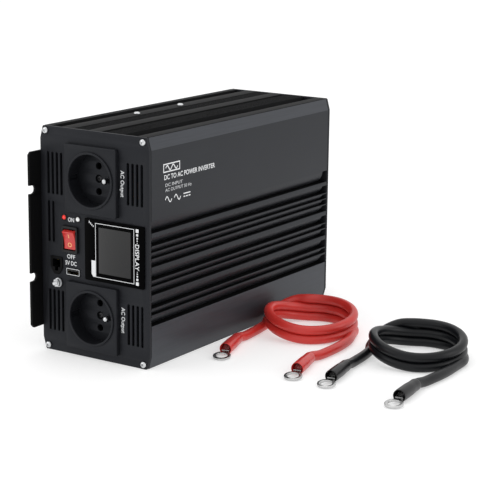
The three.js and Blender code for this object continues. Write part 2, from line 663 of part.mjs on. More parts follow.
// a sleeve along +Y that starts at the ring end
function sleeve() {
  const [bore, mouth] = [4.1, 4.5];
  const profile = [
    [bore, 0], [mouth, 0], [SLEEVE_R, 4], [SLEEVE_R, SLEEVE_L - 2], [mouth, SLEEVE_L],
    [bore, SLEEVE_L], [bore, 0],
  ];
  return turned(profile, 12);
}

// a ring lug along +Y: the ring's middle is at the origin and the barrel goes into the sleeve
function lug() {
  const neck = 3;
  const palm = new THREE.Shape();
  const spread = Math.asin(neck / LUG_R);
  palm.moveTo(neck, LUG_REACH + 4);
  palm.lineTo(neck, LUG_R * Math.cos(spread));
  palm.absarc(0, 0, LUG_R, Math.PI / 2 - spread, Math.PI / 2 + spread - 2 * Math.PI, true);
  palm.lineTo(-neck, LUG_REACH + 4);
  const hole = new THREE.Path();
  hole.absarc(0, 0, LUG_HOLE_R, 0, 2 * Math.PI);
  palm.holes.push(hole);
  const settings = { depth: 1.5, bevelEnabled: false, curveSegments: 14 };
  const bend = [LUG_REACH + 2, -SLEEVE_R + 2.6];
  const plate = new THREE.ExtrudeGeometry(palm, settings)
    .translate(0, -bend[0], 0)
    .rotateX(LUG_DROOP)
    .translate(0, bend[0], bend[1]);
  const barrel = new THREE.CylinderGeometry(3.6, 3.6, BARREL_L, 10);
  return join(plate, barrel.translate(0, LUG_REACH + 1 + BARREL_L / 2, 0));
}

for (const lead of LEADS) {
  const { name, material } = lead;
  const coilX = lead.coil[0] + COIL_SPREAD * Math.cos(SPREAD_ANGLE);
  const coilY = lead.coil[1] + COIL_SPREAD * Math.sin(SPREAD_ANGLE);
  add(`${name}_coil`, coil(), material, { x: coilX, y: coilY });
  for (const end of ['inner', 'outer']) {
    const { ring, sleeve: start, tail } = lead[end];
    const run = new THREE.Vector2(start[0] - ring[0], start[1] - ring[1]).normalize();
    const turnZ = Math.atan2(run.y, run.x) - Math.PI / 2;
    const along = (distance) => [ring[0] + run.x * distance, ring[1] + run.y * distance, SLEEVE_Z];
    const inside = LUG_REACH + 1 + BARREL_L + GAP;
    const mouth = LUG_REACH + SLEEVE_L;
    const points = [along(inside), along(mouth - 3), along(mouth + 3), ...tail];
    add(`${name}_${end}_tail`, cable(points), material);
    const [sleeveX, sleeveY] = along(LUG_REACH);
    add(`${name}_${end}_sleeve`, sleeve(), material, { x: sleeveX, y: sleeveY, z: SLEEVE_Z, turnZ });
    add(`${name}_${end}_lug`, lug(), TINNED, { x: ring[0], y: ring[1], z: SLEEVE_Z, turnZ });
  }
}

export default group;
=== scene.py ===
"""Looks for the power inverter: case, panels, sockets, controls, fan, terminals and two leads.

Shapes are written in millimetres from the middle of the front panel's lower edge: x across,
y back from the panel's face and z up. place() turns that into the row frame, in metres.
"""

from math import asin, atan, atan2, copysign, cos, degrees, pi, radians, sin, tan, tanh

import bmesh
import bpy
from mathutils import Matrix, Vector
from mathutils.geometry import tessellate_polygon


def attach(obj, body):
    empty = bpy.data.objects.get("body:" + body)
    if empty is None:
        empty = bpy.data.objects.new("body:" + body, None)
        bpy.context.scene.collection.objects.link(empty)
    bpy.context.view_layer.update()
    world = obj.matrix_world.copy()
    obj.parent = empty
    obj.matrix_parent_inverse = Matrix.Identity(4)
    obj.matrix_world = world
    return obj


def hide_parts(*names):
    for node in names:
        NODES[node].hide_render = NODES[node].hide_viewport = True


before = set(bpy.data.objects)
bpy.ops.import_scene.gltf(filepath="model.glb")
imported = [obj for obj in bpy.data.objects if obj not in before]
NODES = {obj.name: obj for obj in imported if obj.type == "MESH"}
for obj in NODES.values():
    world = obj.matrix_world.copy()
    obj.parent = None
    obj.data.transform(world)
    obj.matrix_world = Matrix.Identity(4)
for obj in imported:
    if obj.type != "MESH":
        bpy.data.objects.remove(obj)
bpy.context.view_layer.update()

MM = 0.001
SHIFT = Vector((1.25, -130.0, 0.0))
TO_ROW = Matrix.Scale(MM, 4) @ Matrix.Translation(SHIFT)


def place(x, y, z):
    return TO_ROW @ Vector((x, y, z))


def new_object(name, data):
    made = bpy.data.objects.new(name, data)
    bpy.context.scene.collection.objects.link(made)
    return made


def evaluated_mesh(made):
    """The mesh an object comes to with its modifiers; the object itself is removed."""
    bpy.context.view_layer.update()
    evaluated = made.evaluated_get(bpy.context.evaluated_depsgraph_get())
    mesh = bpy.data.meshes.new_from_object(evaluated)
    bpy.data.objects.remove(made)
    return mesh


# ---------------- camera, stage and light
def look(position, right, up):
    """A camera's matrix in the row frame from its place and two of its directions."""
    side = Vector(right).normalized()
    back = side.cross(Vector(up)).normalized()
    top = back.cross(side)
    turn = Matrix((side, top, back)).transposed().to_4x4()
    return Matrix.Translation(place(*position)) @ turn


camera_data = bpy.data.cameras.new("camera")
camera_data.sensor_width = 36.0
camera_data.lens = 118.02
camera_data.clip_start = 0.05
camera_data.clip_end = 30.0
camera = new_object("camera", camera_data)
camera.matrix_world = look((734.27, -913.73, 362.57), (0.8351, 0.5500, 0.0117), (-0.1370, 0.1873, 0.9727))
bpy.context.scene.camera = camera


def area_light(name, position, target, size, power, colour=(1.0, 1.0, 1.0)):
    data = bpy.data.lights.new(name, "AREA")
    data.shape = "RECTANGLE"
    data.size, data.size_y = size
    data.energy = power
    data.color = colour
    light = new_object(name, data)
    light.location = position
    light.rotation_euler = (Vector(target) - Vector(position)).to_track_quat("-Z", "Y").to_euler()


area_light("overhead", (-0.15, 0.1, 1.5), (0.05, 0, 0.05), (1.5, 1.5), 4)
area_light("front_left", (-1.2, -1.4, 0.9), (0, 0, 0.08), (0.9, 0.9), 4)
area_light("right", (1.8, 0.5, 0.7), (0.05, 0, 0.08), (0.9, 1.3), 6)

world = bpy.data.worlds.new("studio")
bpy.context.scene.world = world
world.use_nodes = True
world.node_tree.nodes["Background"].inputs["Color"].default_value = (1.0, 1.0, 1.0, 1.0)
world.node_tree.nodes["Background"].inputs["Strength"].default_value = 1.0
bpy.context.scene.view_settings.view_transform = "Standard"


# ---------------- materials
class Nodes:
    """Short names for building one material's node tree."""

    def __init__(self, name):
        self.material = bpy.data.materials.new(name)
        self.material.use_nodes = True
        self.tree = self.material.node_tree
        self.shader = self.tree.nodes["Principled BSDF"]
        self.place = self.add("ShaderNodeTexCoord").outputs["Object"]

    def add(self, kind, **inputs):
        node = self.tree.nodes.new(kind)
        for key, value in inputs.items():
            self.feed(node, key, value)
        return node

    def feed(self, node, key, value):
        socket = node.inputs[key]
        if isinstance(value, bpy.types.NodeSocket):
            self.tree.links.new(value, socket)
        else:
            socket.default_value = value

    def apply(self, **inputs):
        """Feeds the shader's own inputs, with an underscore for each space in their names."""
        for key, value in inputs.items():
            self.feed(self.shader, key.replace("_", " "), value)
        return self.material

    def noise(self, scale, detail=3.0, stretch=None):
        vector = self.place
        if stretch:
            vector = self.add("ShaderNodeMapping", Vector=vector, Scale=stretch).outputs["Vector"]
        return self.add("ShaderNodeTexNoise", Vector=vector, Scale=scale, Detail=detail).outputs["Fac"]

    def ramp(self, factor, stops):
        node = self.add("ShaderNodeValToRGB", Fac=factor)
        elements = node.color_ramp.elements
        while len(elements) < len(stops):
            elements.new(0.5)
        for element, (position, colour) in zip(elements, stops):
            element.position = position
            element.color = (*colour, 1.0)
        return node.outputs["Color"]

    def mix(self, factor, first, second):
        node = self.add("ShaderNodeMix")
        node.data_type = "RGBA"
        self.feed(node, 0, factor)
        self.feed(node, 6, first)
        self.feed(node, 7, second)
        return node.outputs[2]

    def span(self, factor, low, high):
        values = {"Value": factor, "To Min": low, "To Max": high}
        return self.add("ShaderNodeMapRange", **values).outputs["Result"]

    def bump(self, height, strength, distance):
        node = self.add("ShaderNodeBump", Height=height, Strength=strength, Distance=distance)
        return node.outputs["Normal"]


def shade(colour, amount):
    return tuple(min(1.0, channel * amount) for channel in colour)


def surface(name, colour, rough, spread=0.25, grain=900.0, bump=0.2, depth=0.00004, streak=None, gloss=0.5,
            **shader):
    """A finish whose tone, gloss and relief all vary with fine grain and with slower patches."""
    n = Nodes(name)
    fine = n.noise(grain, 4.0, streak)
    slow = n.noise(28.0, 2.0)
    tone = n.ramp(slow, [(0.3, shade(colour, 1 - spread / 2)), (0.7, shade(colour, 1 + spread / 2))])
    speck = n.ramp(fine, [(0.35, shade(colour, 1 - spread)), (0.65, shade(colour, 1 + spread))])
    return n.apply(Base_Color=n.mix(0.5, tone, speck), Normal=n.bump(fine, bump, depth),
                   Roughness=n.span(fine, rough * 0.88, min(1.0, rough * 1.12)),
                   Specular_IOR_Level=gloss, **shader)


COOL = (0.88, 0.92, 1.0, 1.0)
DRAWN = (1, 0.03, 1)  # grain drawn out along the extrusion
ANODISED = surface("anodised", (0.0098, 0.0106, 0.0128), 0.5, 0.3, 1100, 0.35, streak=DRAWN,
                   gloss=0.28, Specular_Tint=COOL)
# A lighter copy of the anodised finish: painted highlight for the shoulders and the lower face.
ANODISED_LIT = surface("anodised_lit", (0.026, 0.028, 0.033), 0.45, 0.25, 1100, 0.35,
                        streak=DRAWN, gloss=0.4, Specular_Tint=COOL)
# A darker copy of the anodised finish: painted shade for the top and bottom faces.
CASE_TOP_SHADED = surface("anodised_top_shaded", (0.003, 0.0032, 0.0036), 0.6, 0.3, 1100, 0.35, streak=DRAWN,
                   gloss=0.06)
# A still darker copy: painted shade on the fins' upward faces and deep in the rear rebate.
GROOVE_SHADE = surface("anodised_groove_shade", (0.003, 0.003, 0.0033), 0.6, 0.3, 1100, 0.35, streak=DRAWN,
                 gloss=0.08)
PANEL = surface("panel_paint", (0.0055, 0.0058, 0.0075), 0.62, 0.4, 1500, 0.5, gloss=0.3,
                Specular_Tint=COOL)
BLACK_METAL = surface("black_paint", (0.0012, 0.0012, 0.0014), 0.6, 0.4, 1300, 0.4, gloss=0.12)
SOCKET_BLACK = surface("socket_plastic", (0.005, 0.0053, 0.0068), 0.55, 0.3, 700, 0.25,
                       gloss=0.28, Specular_Tint=COOL)
SWITCH_BLACK = surface("switch_plastic", (0.004, 0.004, 0.0045), 0.45, 0.3, 700, 0.2, gloss=0.3)
FAN_BLACK = surface("fan_plastic", (0.006, 0.006, 0.0065), 0.5, 0.3, 500, 0.2, gloss=0.4)
GLOSS_BLACK = surface("display_glass", (0.0006, 0.0006, 0.0007), 0.3, 0.3, 400, 0.03, gloss=0.02)
STEEL = surface("nickel", (0.62, 0.63, 0.64), 0.28, 0.1, 900, 0.25, Metallic=1.0)
DARK_STEEL = surface("dark_steel", (0.03, 0.03, 0.032), 0.4, 0.2, 900, 0.25, Metallic=0.8)
BRASS = surface("brass", (0.58, 0.37, 0.12), 0.3, 0.12, 800, 0.25, Metallic=1.0)
GOLD = surface("gold_contacts", (0.75, 0.52, 0.17), 0.25, 0.1, 900, 0.1, Metallic=1.0)
TIN = surface("tin_plating", (0.52, 0.52, 0.52), 0.26, 0.1, 700, 0.3, Metallic=1.0)
RED_PLASTIC = surface("red_plastic", (0.55, 0.03, 0.025), 0.25, 0.15, 500, 0.08, Coat_Weight=0.2)
KNOB_RED = surface("knob_red", (0.42, 0.02, 0.016), 0.38, 0.15, 600, 0.2)
LABEL_WHITE = surface("label_white", (0.72, 0.73, 0.74), 0.6, 0.08, 900, 0.2)
LABEL_GREY = surface("label_grey", (0.46, 0.47, 0.48), 0.6, 0.1, 900, 0.2)
LABEL_CREAM = surface("label_cream", (0.85, 0.52, 0.2), 0.5, 0.1, 900, 0.1)
RED_SLEEVE = surface("red_sleeve", (0.5, 0.022, 0.018), 0.3, 0.15, 260, 0.25, 0.00008)
BLACK_SLEEVE = surface("black_sleeve", (0.004, 0.0042, 0.005), 0.3, 0.2, 260, 0.25, 0.00008, gloss=0.24)
BOARD = surface("circuit_board", (0.014, 0.1, 0.04), 0.42, 0.3, 320, 0.3, 0.0001)
FERRITE = surface("ferrite", (0.03, 0.03, 0.033), 0.65, 0.35, 700, 0.4)
CAN_BLUE = surface("capacitor_sleeve", (0.014, 0.018, 0.03), 0.35, 0.2, 300, 0.1)
COPPER = surface("enamelled_copper", (0.5, 0.17, 0.05), 0.32, 0.25, 240, 0.5, 0.0002,
                 streak=(1, 1, 6), Metallic=1.0)


def cable_finish(name, colour, gloss):
    """Extruded PVC: faint long ripples, a waxy gloss and slow tone changes."""
    n = Nodes(name)
    ripple = n.noise(160.0, 2.0)
    grain = n.noise(1400.0, 3.0)
    slow = n.noise(30.0, 2.0)
    tone = n.ramp(slow, [(0.3, shade(colour, 0.86)), (0.7, shade(colour, 1.12))])
    return n.apply(Base_Color=tone, Roughness=n.span(grain, 0.3, 0.42), Specular_IOR_Level=gloss,
                   Normal=n.bump(n.mix(0.3, ripple, grain), 0.25, 0.0002))


RED_CABLE = cable_finish("red_cable", (0.52, 0.028, 0.022), 0.45)
BLACK_CABLE = cable_finish("black_cable", (0.0042, 0.0048, 0.006), 0.24)


def lamp_finish(name, colour, glow):
    n = Nodes(name)
    fine = n.noise(900.0)
    return n.apply(Base_Color=n.ramp(fine, [(0.3, shade(colour, 0.9)), (0.7, colour)]),
                   Roughness=n.span(fine, 0.12, 0.2), Coat_Weight=0.5,
                   Emission_Color=(*colour, 1.0), Emission_Strength=glow)


RED_LAMP = lamp_finish("red_lamp", (0.72, 0.02, 0.012), 0.35)
WHITE_LAMP = lamp_finish("white_lamp", (0.85, 0.86, 0.85), 0.15)


def screen_finish():
    """Unlit liquid crystal under glass: a fine cell grid and a painted sheen that lightens towards the top.
    """
    n = Nodes("screen")
    height = n.add("ShaderNodeSeparateXYZ", Vector=n.place).outputs["Z"]
    # Painted sheen: the screen's tone lightens with height.
    sheen_by_height = n.add("ShaderNodeMapRange", **{"Value": height, "From Min": 0.066, "From Max": 0.101})
    tone = n.ramp(sheen_by_height.outputs["Result"], [(0.0, (0.0085, 0.0087, 0.009)), (1.0, (0.015, 0.0152, 0.0156))])
    cells = n.add("ShaderNodeTexVoronoi", Vector=n.place, Scale=2600.0).outputs["Distance"]
    return n.apply(Base_Color=n.mix(n.span(cells, 0.0, 0.35), tone, (0.01, 0.01, 0.0105, 1.0)),
                   Roughness=n.span(n.noise(60.0), 0.08, 0.14), Specular_IOR_Level=0.35)


SCREEN = screen_finish()


def floor_finish():
    n = Nodes("floor")
    slow = n.noise(3.0, 2.0)
    tone = n.ramp(slow, [(0.3, (0.62, 0.62, 0.62)), (0.7, (0.64, 0.64, 0.64))])
    return n.apply(Base_Color=tone, Roughness=0.6, Specular_IOR_Level=0.1,
                   Emission_Color=(1.0, 1.0, 1.0, 1.0), Emission_Strength=0.4)


# ---------------- mesh pieces
def finish_mesh(name, bm, material, *, slot, replaces=None, angle=32.0, body="inverter"):
    """Turns a bmesh in millimetres into a smooth-shaded piece on a body."""
    bmesh.ops.remove_doubles(bm, verts=bm.verts, dist=1e-4)
    bmesh.ops.recalc_face_normals(bm, faces=bm.faces)
    bm.transform(TO_ROW)
    mesh = bpy.data.meshes.new(name)
    bm.to_mesh(mesh)
    bm.free()
    mesh.shade_smooth()
    mesh.set_sharp_from_angle(angle=radians(angle))
    piece = new_object(name, mesh)
    for each in material if isinstance(material, list) else [material]:
        mesh.materials.append(each)
    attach(piece, body)
    if replaces:
        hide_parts(replaces)
    return piece


def signed_area(loop):
    pairs = zip(loop, loop[1:] + loop[:1])
    return sum(a[0] * b[1] - b[0] * a[1] for a, b in pairs) / 2


def inset(loop, distance):
    """Moves each side of a closed outline to its left by distance."""
    if distance == 0:
        return list(loop)
    moved = []
    for i, point in enumerate(loop):
        before, after = Vector(loop[i - 1]), Vector(loop[(i + 1) % len(loop)])
        here = Vector(point)
        first, second = (here - before).normalized(), (after - here).normalized()
        normals = Vector((-first.y, first.x)), Vector((-second.y, second.x))
        middle = (normals[0] + normals[1]).normalized()
        reach = distance / max(0.35, middle.dot(normals[0]))
        moved.append(tuple(here + middle * reach))
    return moved


AXES = {
    "x": lambda u, v, w: (w, u, v),
    "y": lambda u, v, w: (u, w, v),
    "z": lambda u, v, w: (u, v, w),
}


def polar(radius, angle, x=0.0, z=0.0):
    return x + radius * cos(angle), z + radius * sin(angle)


def bridge(bm, a, b):
    """Joins two closed rings of vertices with four-sided faces."""
    count = len(a)
    return [bm.faces.new((a[i], a[(i + 1) % count], b[(i + 1) % count], b[i])) for i in range(count)]


def rounded_levels(low, high, radius, both=True):
    """Levels along an extrusion that round its ends: (where, how far the outline draws in)."""
    ends = [(0.0, 1.0), (0.29, 0.29), (1.0, 0.0)]
    levels = [(low + radius * a, radius * b) for a, b in ends]
    if both:
        return levels + [(high - radius * a, radius * b) for a, b in reversed(ends)]
    return levels + [(high, 0.0)]


def add_slab(bm, outer, holes, levels, axis="y", material_index=0, turn=None):
    """Adds a plate with holes; levels give the drawn-in outline at each place along the axis."""
    loops = [outer if signed_area(outer) > 0 else outer[::-1]]
    loops += [hole if signed_area(hole) < 0 else hole[::-1] for hole in holes]
    to_space = AXES[axis]
    rings = []
    for where, distance in levels:
        ring = []
        for loop in loops:
            drawn = inset(loop, distance)
            points = [Vector(to_space(u, v, where)) for u, v in drawn]
            ring.append([bm.verts.new(turn @ point if turn else point) for point in points])
        rings.append(ring)
    faces = []
    for lower, upper in zip(rings, rings[1:]):
        for a, b in zip(lower, upper):
            faces += bridge(bm, a, b)
    for ring, (_, distance) in ((rings[0], levels[0]), (rings[-1], levels[-1])):
        flat = [[Vector((*point, 0.0)) for point in inset(loop, distance)] for loop in loops]
        corners = [vertex for loop in ring for vertex in loop]
        for triangle in tessellate_polygon(flat):
            chosen = [corners[i] for i in triangle]
            if len(set(chosen)) == 3:
                faces.append(bm.faces.new(chosen))
    for face in faces:
        face.material_index = material_index


def add_lathe(bm, profile, origin=(0, 0, 0), axis=(0, 1, 0), sides=48):
    """Adds a profile of (radius, distance along the axis) turned about the axis."""
    direction = Vector(axis).normalized()
    turn = Vector((0, 0, 1)).rotation_difference(direction).to_matrix().to_4x4()
    matrix = Matrix.Translation(origin) @ turn
    rings = []
    for radius, along in profile:
        if radius < 1e-6:
            rings.append([bm.verts.new(matrix @ Vector((0, 0, along)))])
            continue
        rings.append([bm.verts.new(matrix @ Vector((*spot, along))) for spot in circle(0, 0, radius, sides)])
    for a, b in zip(rings, rings[1:]):
        if len(a) > 1 and len(b) > 1:
            bridge(bm, a, b)
        elif len(b) > 1:
            for i in range(sides):
                bm.faces.new((a[0], b[i], b[(i + 1) % sides]))
        elif len(a) > 1:
            for i in range(sides):
                bm.faces.new((a[i], a[(i + 1) % sides], b[0]))


def slab(name, outer, holes, levels, material, axis="y", turn=None, **more):
    bm = bmesh.new()
    add_slab(bm, outer, holes, levels, axis, 0, turn)
    return finish_mesh(name, bm, material, **more)


def lathe(name, profile, material, origin=(0, 0, 0), axis=(0, 1, 0), sides=48, **more):
    bm = bmesh.new()
    add_lathe(bm, profile, origin, axis, sides)
    return finish_mesh(name, bm, material, **more)


def rectangle(x, z, width, height, radius=0.0):
    """A closed outline, counter-clockwise, with rounded corners."""
    x0, x1, z0, z1 = x - width / 2, x + width / 2, z - height / 2, z + height / 2
    if radius == 0:
        return [(x0, z0), (x1, z0), (x1, z1), (x0, z1)]
    points = []
    for cx, cz, start in ((x1 - radius, z0 + radius, -90), (x1 - radius, z1 - radius, 0),
                          (x0 + radius, z1 - radius, 90), (x0 + radius, z0 + radius, 180)):
        points += [polar(radius, radians(start + 18 * i), cx, cz) for i in range(6)]
    return points


def circle(x, z, radius, sides=48):
    return [polar(radius, 2 * pi * i / sides, x, z) for i in range(sides)]


SHARP, CORNER_STEPS = 25, 3


def rounded(loop, radius):
    """Rounds each corner of a closed outline that bends by SHARP degrees or more."""
    points = []
    for i, point in enumerate(loop):
        here = Vector(point)
        back, ahead = Vector(loop[i - 1]) - here, Vector(loop[(i + 1) % len(loop)]) - here
        bend = degrees(pi - back.angle(ahead)) if back.length and ahead.length else 0
        if bend < SHARP:
            points.append(tuple(here))
            continue
        reach = min(radius, back.length * 0.4, ahead.length * 0.4)
        start, end = here + back.normalized() * reach, here + ahead.normalized() * reach
        for step in range(CORNER_STEPS + 1):
            t = step / CORNER_STEPS
            points.append(tuple(start * (1 - t) ** 2 + here * 2 * t * (1 - t) + end * t * t))
    return points


# ---------------- leads
CABLE = 7.4
COIL_R = 33.4
LUG_REACH = 8.5
SLEEVE_L = 30.0
CABLE_START = LUG_REACH + 19.3  # inside the sleeve, past the lug's barrel
LEADS = {
    "red_lead": {
        "coil": (93.6, 153.9),
        "inner": {"ring": (75.9, 55.3), "sleeve": (65.5, 91),
                  "tail": [(64, 104), (63.3, 114), (62.3, 124), (61, 133)]},
        "outer": {"ring": (145.3, 44.6), "sleeve": (136.4, 82.2),
                  "tail": [(137.2, 95), (138, 107), (138, 118), (137.1, 129), (134.9, 142)]},
        "cable": RED_CABLE, "sleeves": RED_SLEEVE,
    },
    "black_lead": {
        "coil": (195.9, 139.6),
        "inner": {"ring": (174, 43), "sleeve": (167.9, 81),
                  "tail": [(166.6, 91), (166, 100), (165.2, 109.5), (163.8, 119)]},
        "outer": {"ring": (234.2, 32.2), "sleeve": (230.4, 70.5),
                  "tail": [(231, 83), (232.4, 95), (233.2, 107), (233.1, 119), (232.4, 131)]},
        "cable": BLACK_CABLE, "sleeves": BLACK_SLEEVE,
    },
}
GROUND_Z = CABLE / 2 + 0.1
SLEEVE_Z = 4.9


def smooth_between(stops, where):
    """The value at a place along (place, value) stops, eased between them."""
    for (x0, y0), (x1, y1) in zip(stops, stops[1:]):
        if where <= x1:
            t = max(0.0, (where - x0) / (x1 - x0))
            return y0 + (y1 - y0) * t * t * (3 - 2 * t)
    return stops[-1][1]


# Degrees run clockwise round the coil from where the inner end joins it, and the level there.
# The first turn climbs outside the others, then lies on top of them.
LEVELS = [(0, 0), (4, 0), (74, 1.98), (105, 1.98), (262, 0.98), (360, 1.84), (440, 0.98), (465, 0.98),
          (622, 0), (720, 0.87), (800, 0), (915, 0)]
OUTWARD = [(0, 3), (20, 5.6), (40, 7.0), (48, 7.0), (80, 0), (885, 0), (915, 2.5)]
COIL_START, COIL_END, COIL_STEP = 200, 915, 15


def coil_points(centre):
    points = []
    for travel in range(0, COIL_END + 1, COIL_STEP):
        radius = COIL_R + smooth_between(OUTWARD, travel)
        height = GROUND_Z + CABLE * smooth_between(LEVELS, travel)
        points.append((*polar(radius, radians(COIL_START - travel), *centre), height))
    return points


def end_points(end):
    """One end's points from the lug's barrel to the coil."""
    ring, start = Vector(end["ring"]), Vector(end["sleeve"])
    run = (start - ring).normalized()
    mouth = LUG_REACH + SLEEVE_L
    points = [(*(ring + run * along), SLEEVE_Z) for along in (CABLE_START, mouth - 3, mouth + 3)]
    return points + [(x, y, GROUND_Z) for x, y in end["tail"]]


SPLINE_STEPS = 12


def resampled(points, spacing):
    """A smooth line through the points, cut into even steps."""
    fine = []
    ends = [points[0]] + points + [points[-1]]
    for p0, p1, p2, p3 in zip(ends, ends[1:], ends[2:], ends[3:]):
        a, b, c, d = (Vector(p) for p in (p0, p1, p2, p3))
        for step in range(SPLINE_STEPS):
            t = step / SPLINE_STEPS
            fine.append(0.5 * (2 * b + (c - a) * t + (2 * a - 5 * b + 4 * c - d) * t ** 2
                               + (3 * b - a - 3 * c + d) * t ** 3))
    fine.append(Vector(points[-1]))
    total = sum((b - a).length for a, b in zip(fine, fine[1:]))
    count = round(total / spacing)
    even, walked, target = [fine[0]], 0.0, total / count
    for a, b in zip(fine, fine[1:]):
        length = (b - a).length
        while walked + length >= target and len(even) < count:
            even.append(a.lerp(b, (target - walked) / length))
            target += total / count
        walked += length
    even.append(fine[-1])
    return even, total


def add_lug(bm, origin, run):
    """A ring terminal: a flat ring, a neck that opens into the crimped barrel."""
    heading = Matrix.Rotation(atan2(run.y, run.x) - pi / 2, 4, "Z")
    turn = Matrix.Translation((*origin, SLEEVE_Z)) @ heading
    neck, ring_r, barrel_r = 3.1, 6.8, 3.6
    spread = degrees(asin(neck / ring_r))
    sweep = [radians(90 - spread - i * (360 - 2 * spread) / 40) for i in range(41)]
    palm = [(neck, 10.5), *[polar(ring_r, a) for a in sweep], (-neck, 10.5)]
    levels = rounded_levels(-2.2, -0.7, 0.3)
    bend = Matrix.Translation((0, LUG_REACH + 2, -2.2))
    droop = bend @ Matrix.Rotation(radians(8), 4, "X") @ bend.inverted()
    add_slab(bm, palm, [circle(0, 0, 4.25, 40)], levels, "z", turn=turn @ droop)
    sections = []
    for along, flat in ((8.6, 1), (9.6, 0.97), (10.6, 0.8), (11.8, 0.5), (13, 0.2), (14.5, 0), (26.5, 0)):
        section = []
        for wide, tall in circle(0, 0, barrel_r, 28):
            low = -1.45 + 0.72 * max(-1.0, min(1.0, 3 * tall / barrel_r))
            section.append(bm.verts.new(turn @ Vector((wide * (1 - 0.14 * flat), along,
                                                       tall * (1 - flat) + low * flat))))
        sections.append(section)
    for a, b in zip(sections, sections[1:]):
        bridge(bm, a, b)
    bm.faces.new(sections[0])
    bm.faces.new(sections[-1])


# Shrink tubing over the barrel and the cable: a swelling, a waist and rolled edges.
SLEEVE = [(4.35, 0.0), (4.62, 0.25), (4.72, 1.2), (4.8, 4), (4.8, 15), (4.72, 18.5), (4.5, 21.5),
          (4.42, 25), (4.42, 29), (4.3, 29.7), (4.05, 30.0), (3.9, 29.6), (3.9, 20), (4.1, 16),
          (4.1, 0.4), (4.35, 0.0)]


def add_lead(name, lead):
    inner, outer = end_points(lead["inner"]), end_points(lead["outer"])
    route = inner + coil_points(lead["coil"]) + outer[::-1]
    points, length = resampled(route, 2.2)
    curve = bpy.data.curves.new(f"{name}_cable", "CURVE")
    curve.dimensions = "3D"
    curve.bevel_depth = CABLE / 2 * MM
    curve.bevel_resolution = 7
    curve.use_fill_caps = True
    spline = curve.splines.new("POLY")
    spline.points.add(len(points) - 1)
    for spot, point in zip(spline.points, points):
        spot.co = (*place(*point), 1.0)
    spline.use_smooth = True
    cable = new_object(f"{name}_cable", curve)
    curve.materials.append(lead["cable"])
    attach(cable, name)
    colour = name.split("_")[0]
    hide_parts(f"{name}_coil", f"{name}_inner_tail", f"{name}_outer_tail")
    for end in ("inner", "outer"):
        ring, start = Vector(lead[end]["ring"]), Vector(lead[end]["sleeve"])
        run = (start - ring).normalized()
        lug = bmesh.new()
        add_lug(lug, ring, run)
        finish_mesh(f"{name}_{end}_ring_lug", lug, TIN, body=name,
                                    replaces=f"{name}_{end}_lug", slot="tinned")
        lathe(f"{name}_{end}_shrink_sleeve", SLEEVE, lead["sleeves"],
                              (*(ring + run * LUG_REACH), SLEEVE_Z), (run.x, run.y, 0), 40, body=name,
                              replaces=f"{name}_{end}_sleeve", slot=f"{colour}_cable")
    return length


for lead_name, lead_facts in LEADS.items():
    print(lead_name, "is", round(add_lead(lead_name, lead_facts)), "mm long")


# ---------------- case
CASE_H, CASE_L = 171.0, 250.0
LEFT, RIGHT = -50.0, 50.0
SHOULDER_X, SHOULDER_Z = 2.6, 9.4
PANEL_T, GAP = 2.5, 0.3
SEAM = 0.01  # keeps the slabs of one piece from sharing their end vertices
FIN_DEPTH = 7.0
TEXT_FACE_BOTTOM = 110.9
FINS = [(101.5, 3.2), (92.0, 0.9), (87.3, 0.9), (82.6, 1.0), (76.4, 3.6), (66.5, 0.9),
        (62.0, 1.0), (55.6, 3.6), (45.6, 0.9), (40.7, 1.6)]
LOWER_FACE_TOP = 32.3
LEAN, FIRST_LEAN = (25, 62), (12, 70)
REAR_REBATE = 7.0


def grooves():
    tops = [TEXT_FACE_BOTTOM] + [z - ridge for z, ridge in FINS]
    return list(zip(tops, [z for z, _ in FINS] + [LOWER_FACE_TOP]))


def rolled_fins():
    """The large face from the top down: below each flat it leans in, ever more steeply."""
    points = [(RIGHT, CASE_H - SHOULDER_Z)]
    steps = 12
    for i, (high, low) in enumerate(grooves()):
        start, end = LEAN if i else FIRST_LEAN
        drop, x = (high - low) / steps, RIGHT
        points.append((x, high))
        for step in range(1, steps + 1):
            share = ((step - 0.5) / steps) ** (1 if i else 2)
            x -= drop * tan(radians(start + (end - start) * share))
            points.append((x, high - drop * step))
        points.append((RIGHT, low))
    return points + [(RIGHT, SHOULDER_Z)]


def plain_fins():
    points = [(RIGHT, CASE_H - SHOULDER_Z)]
    for high, low in grooves():
        points += [(RIGHT, high), (RIGHT - FIN_DEPTH, high), (RIGHT - FIN_DEPTH, low), (RIGHT, low)]
    return points + [(RIGHT, SHOULDER_Z)]


def narrow_face():
    """The narrow faces from the base side to the finned side: (x, depth below the face)."""
    def serration(start, end, count):
        pitch = (end - start) / count
        return [spot for i in range(count)
                for spot in ((start + pitch * (i + 0.15), 1.3), (start + pitch * (i + 0.6), 0.1))]
    return [(LEFT + SHOULDER_X, 0), (-41, 0), (-40.4, 4.6), (-32.6, 4.6), (-32, 0), (-20, 0),
            *serration(-20, -8, 6), (-8, 1.4), (-6.8, 1.4), (-6.6, 0), (5, 0), (5.2, 1.8), (7, 1.8),
            *serration(7.3, 26, 9), (26.6, 4.6), (37.1, 4.6), (37.7, 0), (RIGHT - SHOULDER_X, 0)]


def case_outline(fins):
    top = [(x, CASE_H - depth) for x, depth in narrow_face()]
    bottom = list(reversed(narrow_face()))
    wall_x, wall_z, lip_x, lip_z = RIGHT - 10.5, 8, LEFT + 3, 26
    inside = [(LEFT, lip_z), (lip_x, lip_z), (lip_x, wall_z), (wall_x, wall_z),
              (wall_x, CASE_H - wall_z), (lip_x, CASE_H - wall_z), (lip_x, CASE_H - lip_z),
              (LEFT, CASE_H - lip_z), (LEFT, CASE_H - SHOULDER_Z)]
    return rounded([*top, *fins, *bottom, (LEFT, SHOULDER_Z), *inside], 0.35)


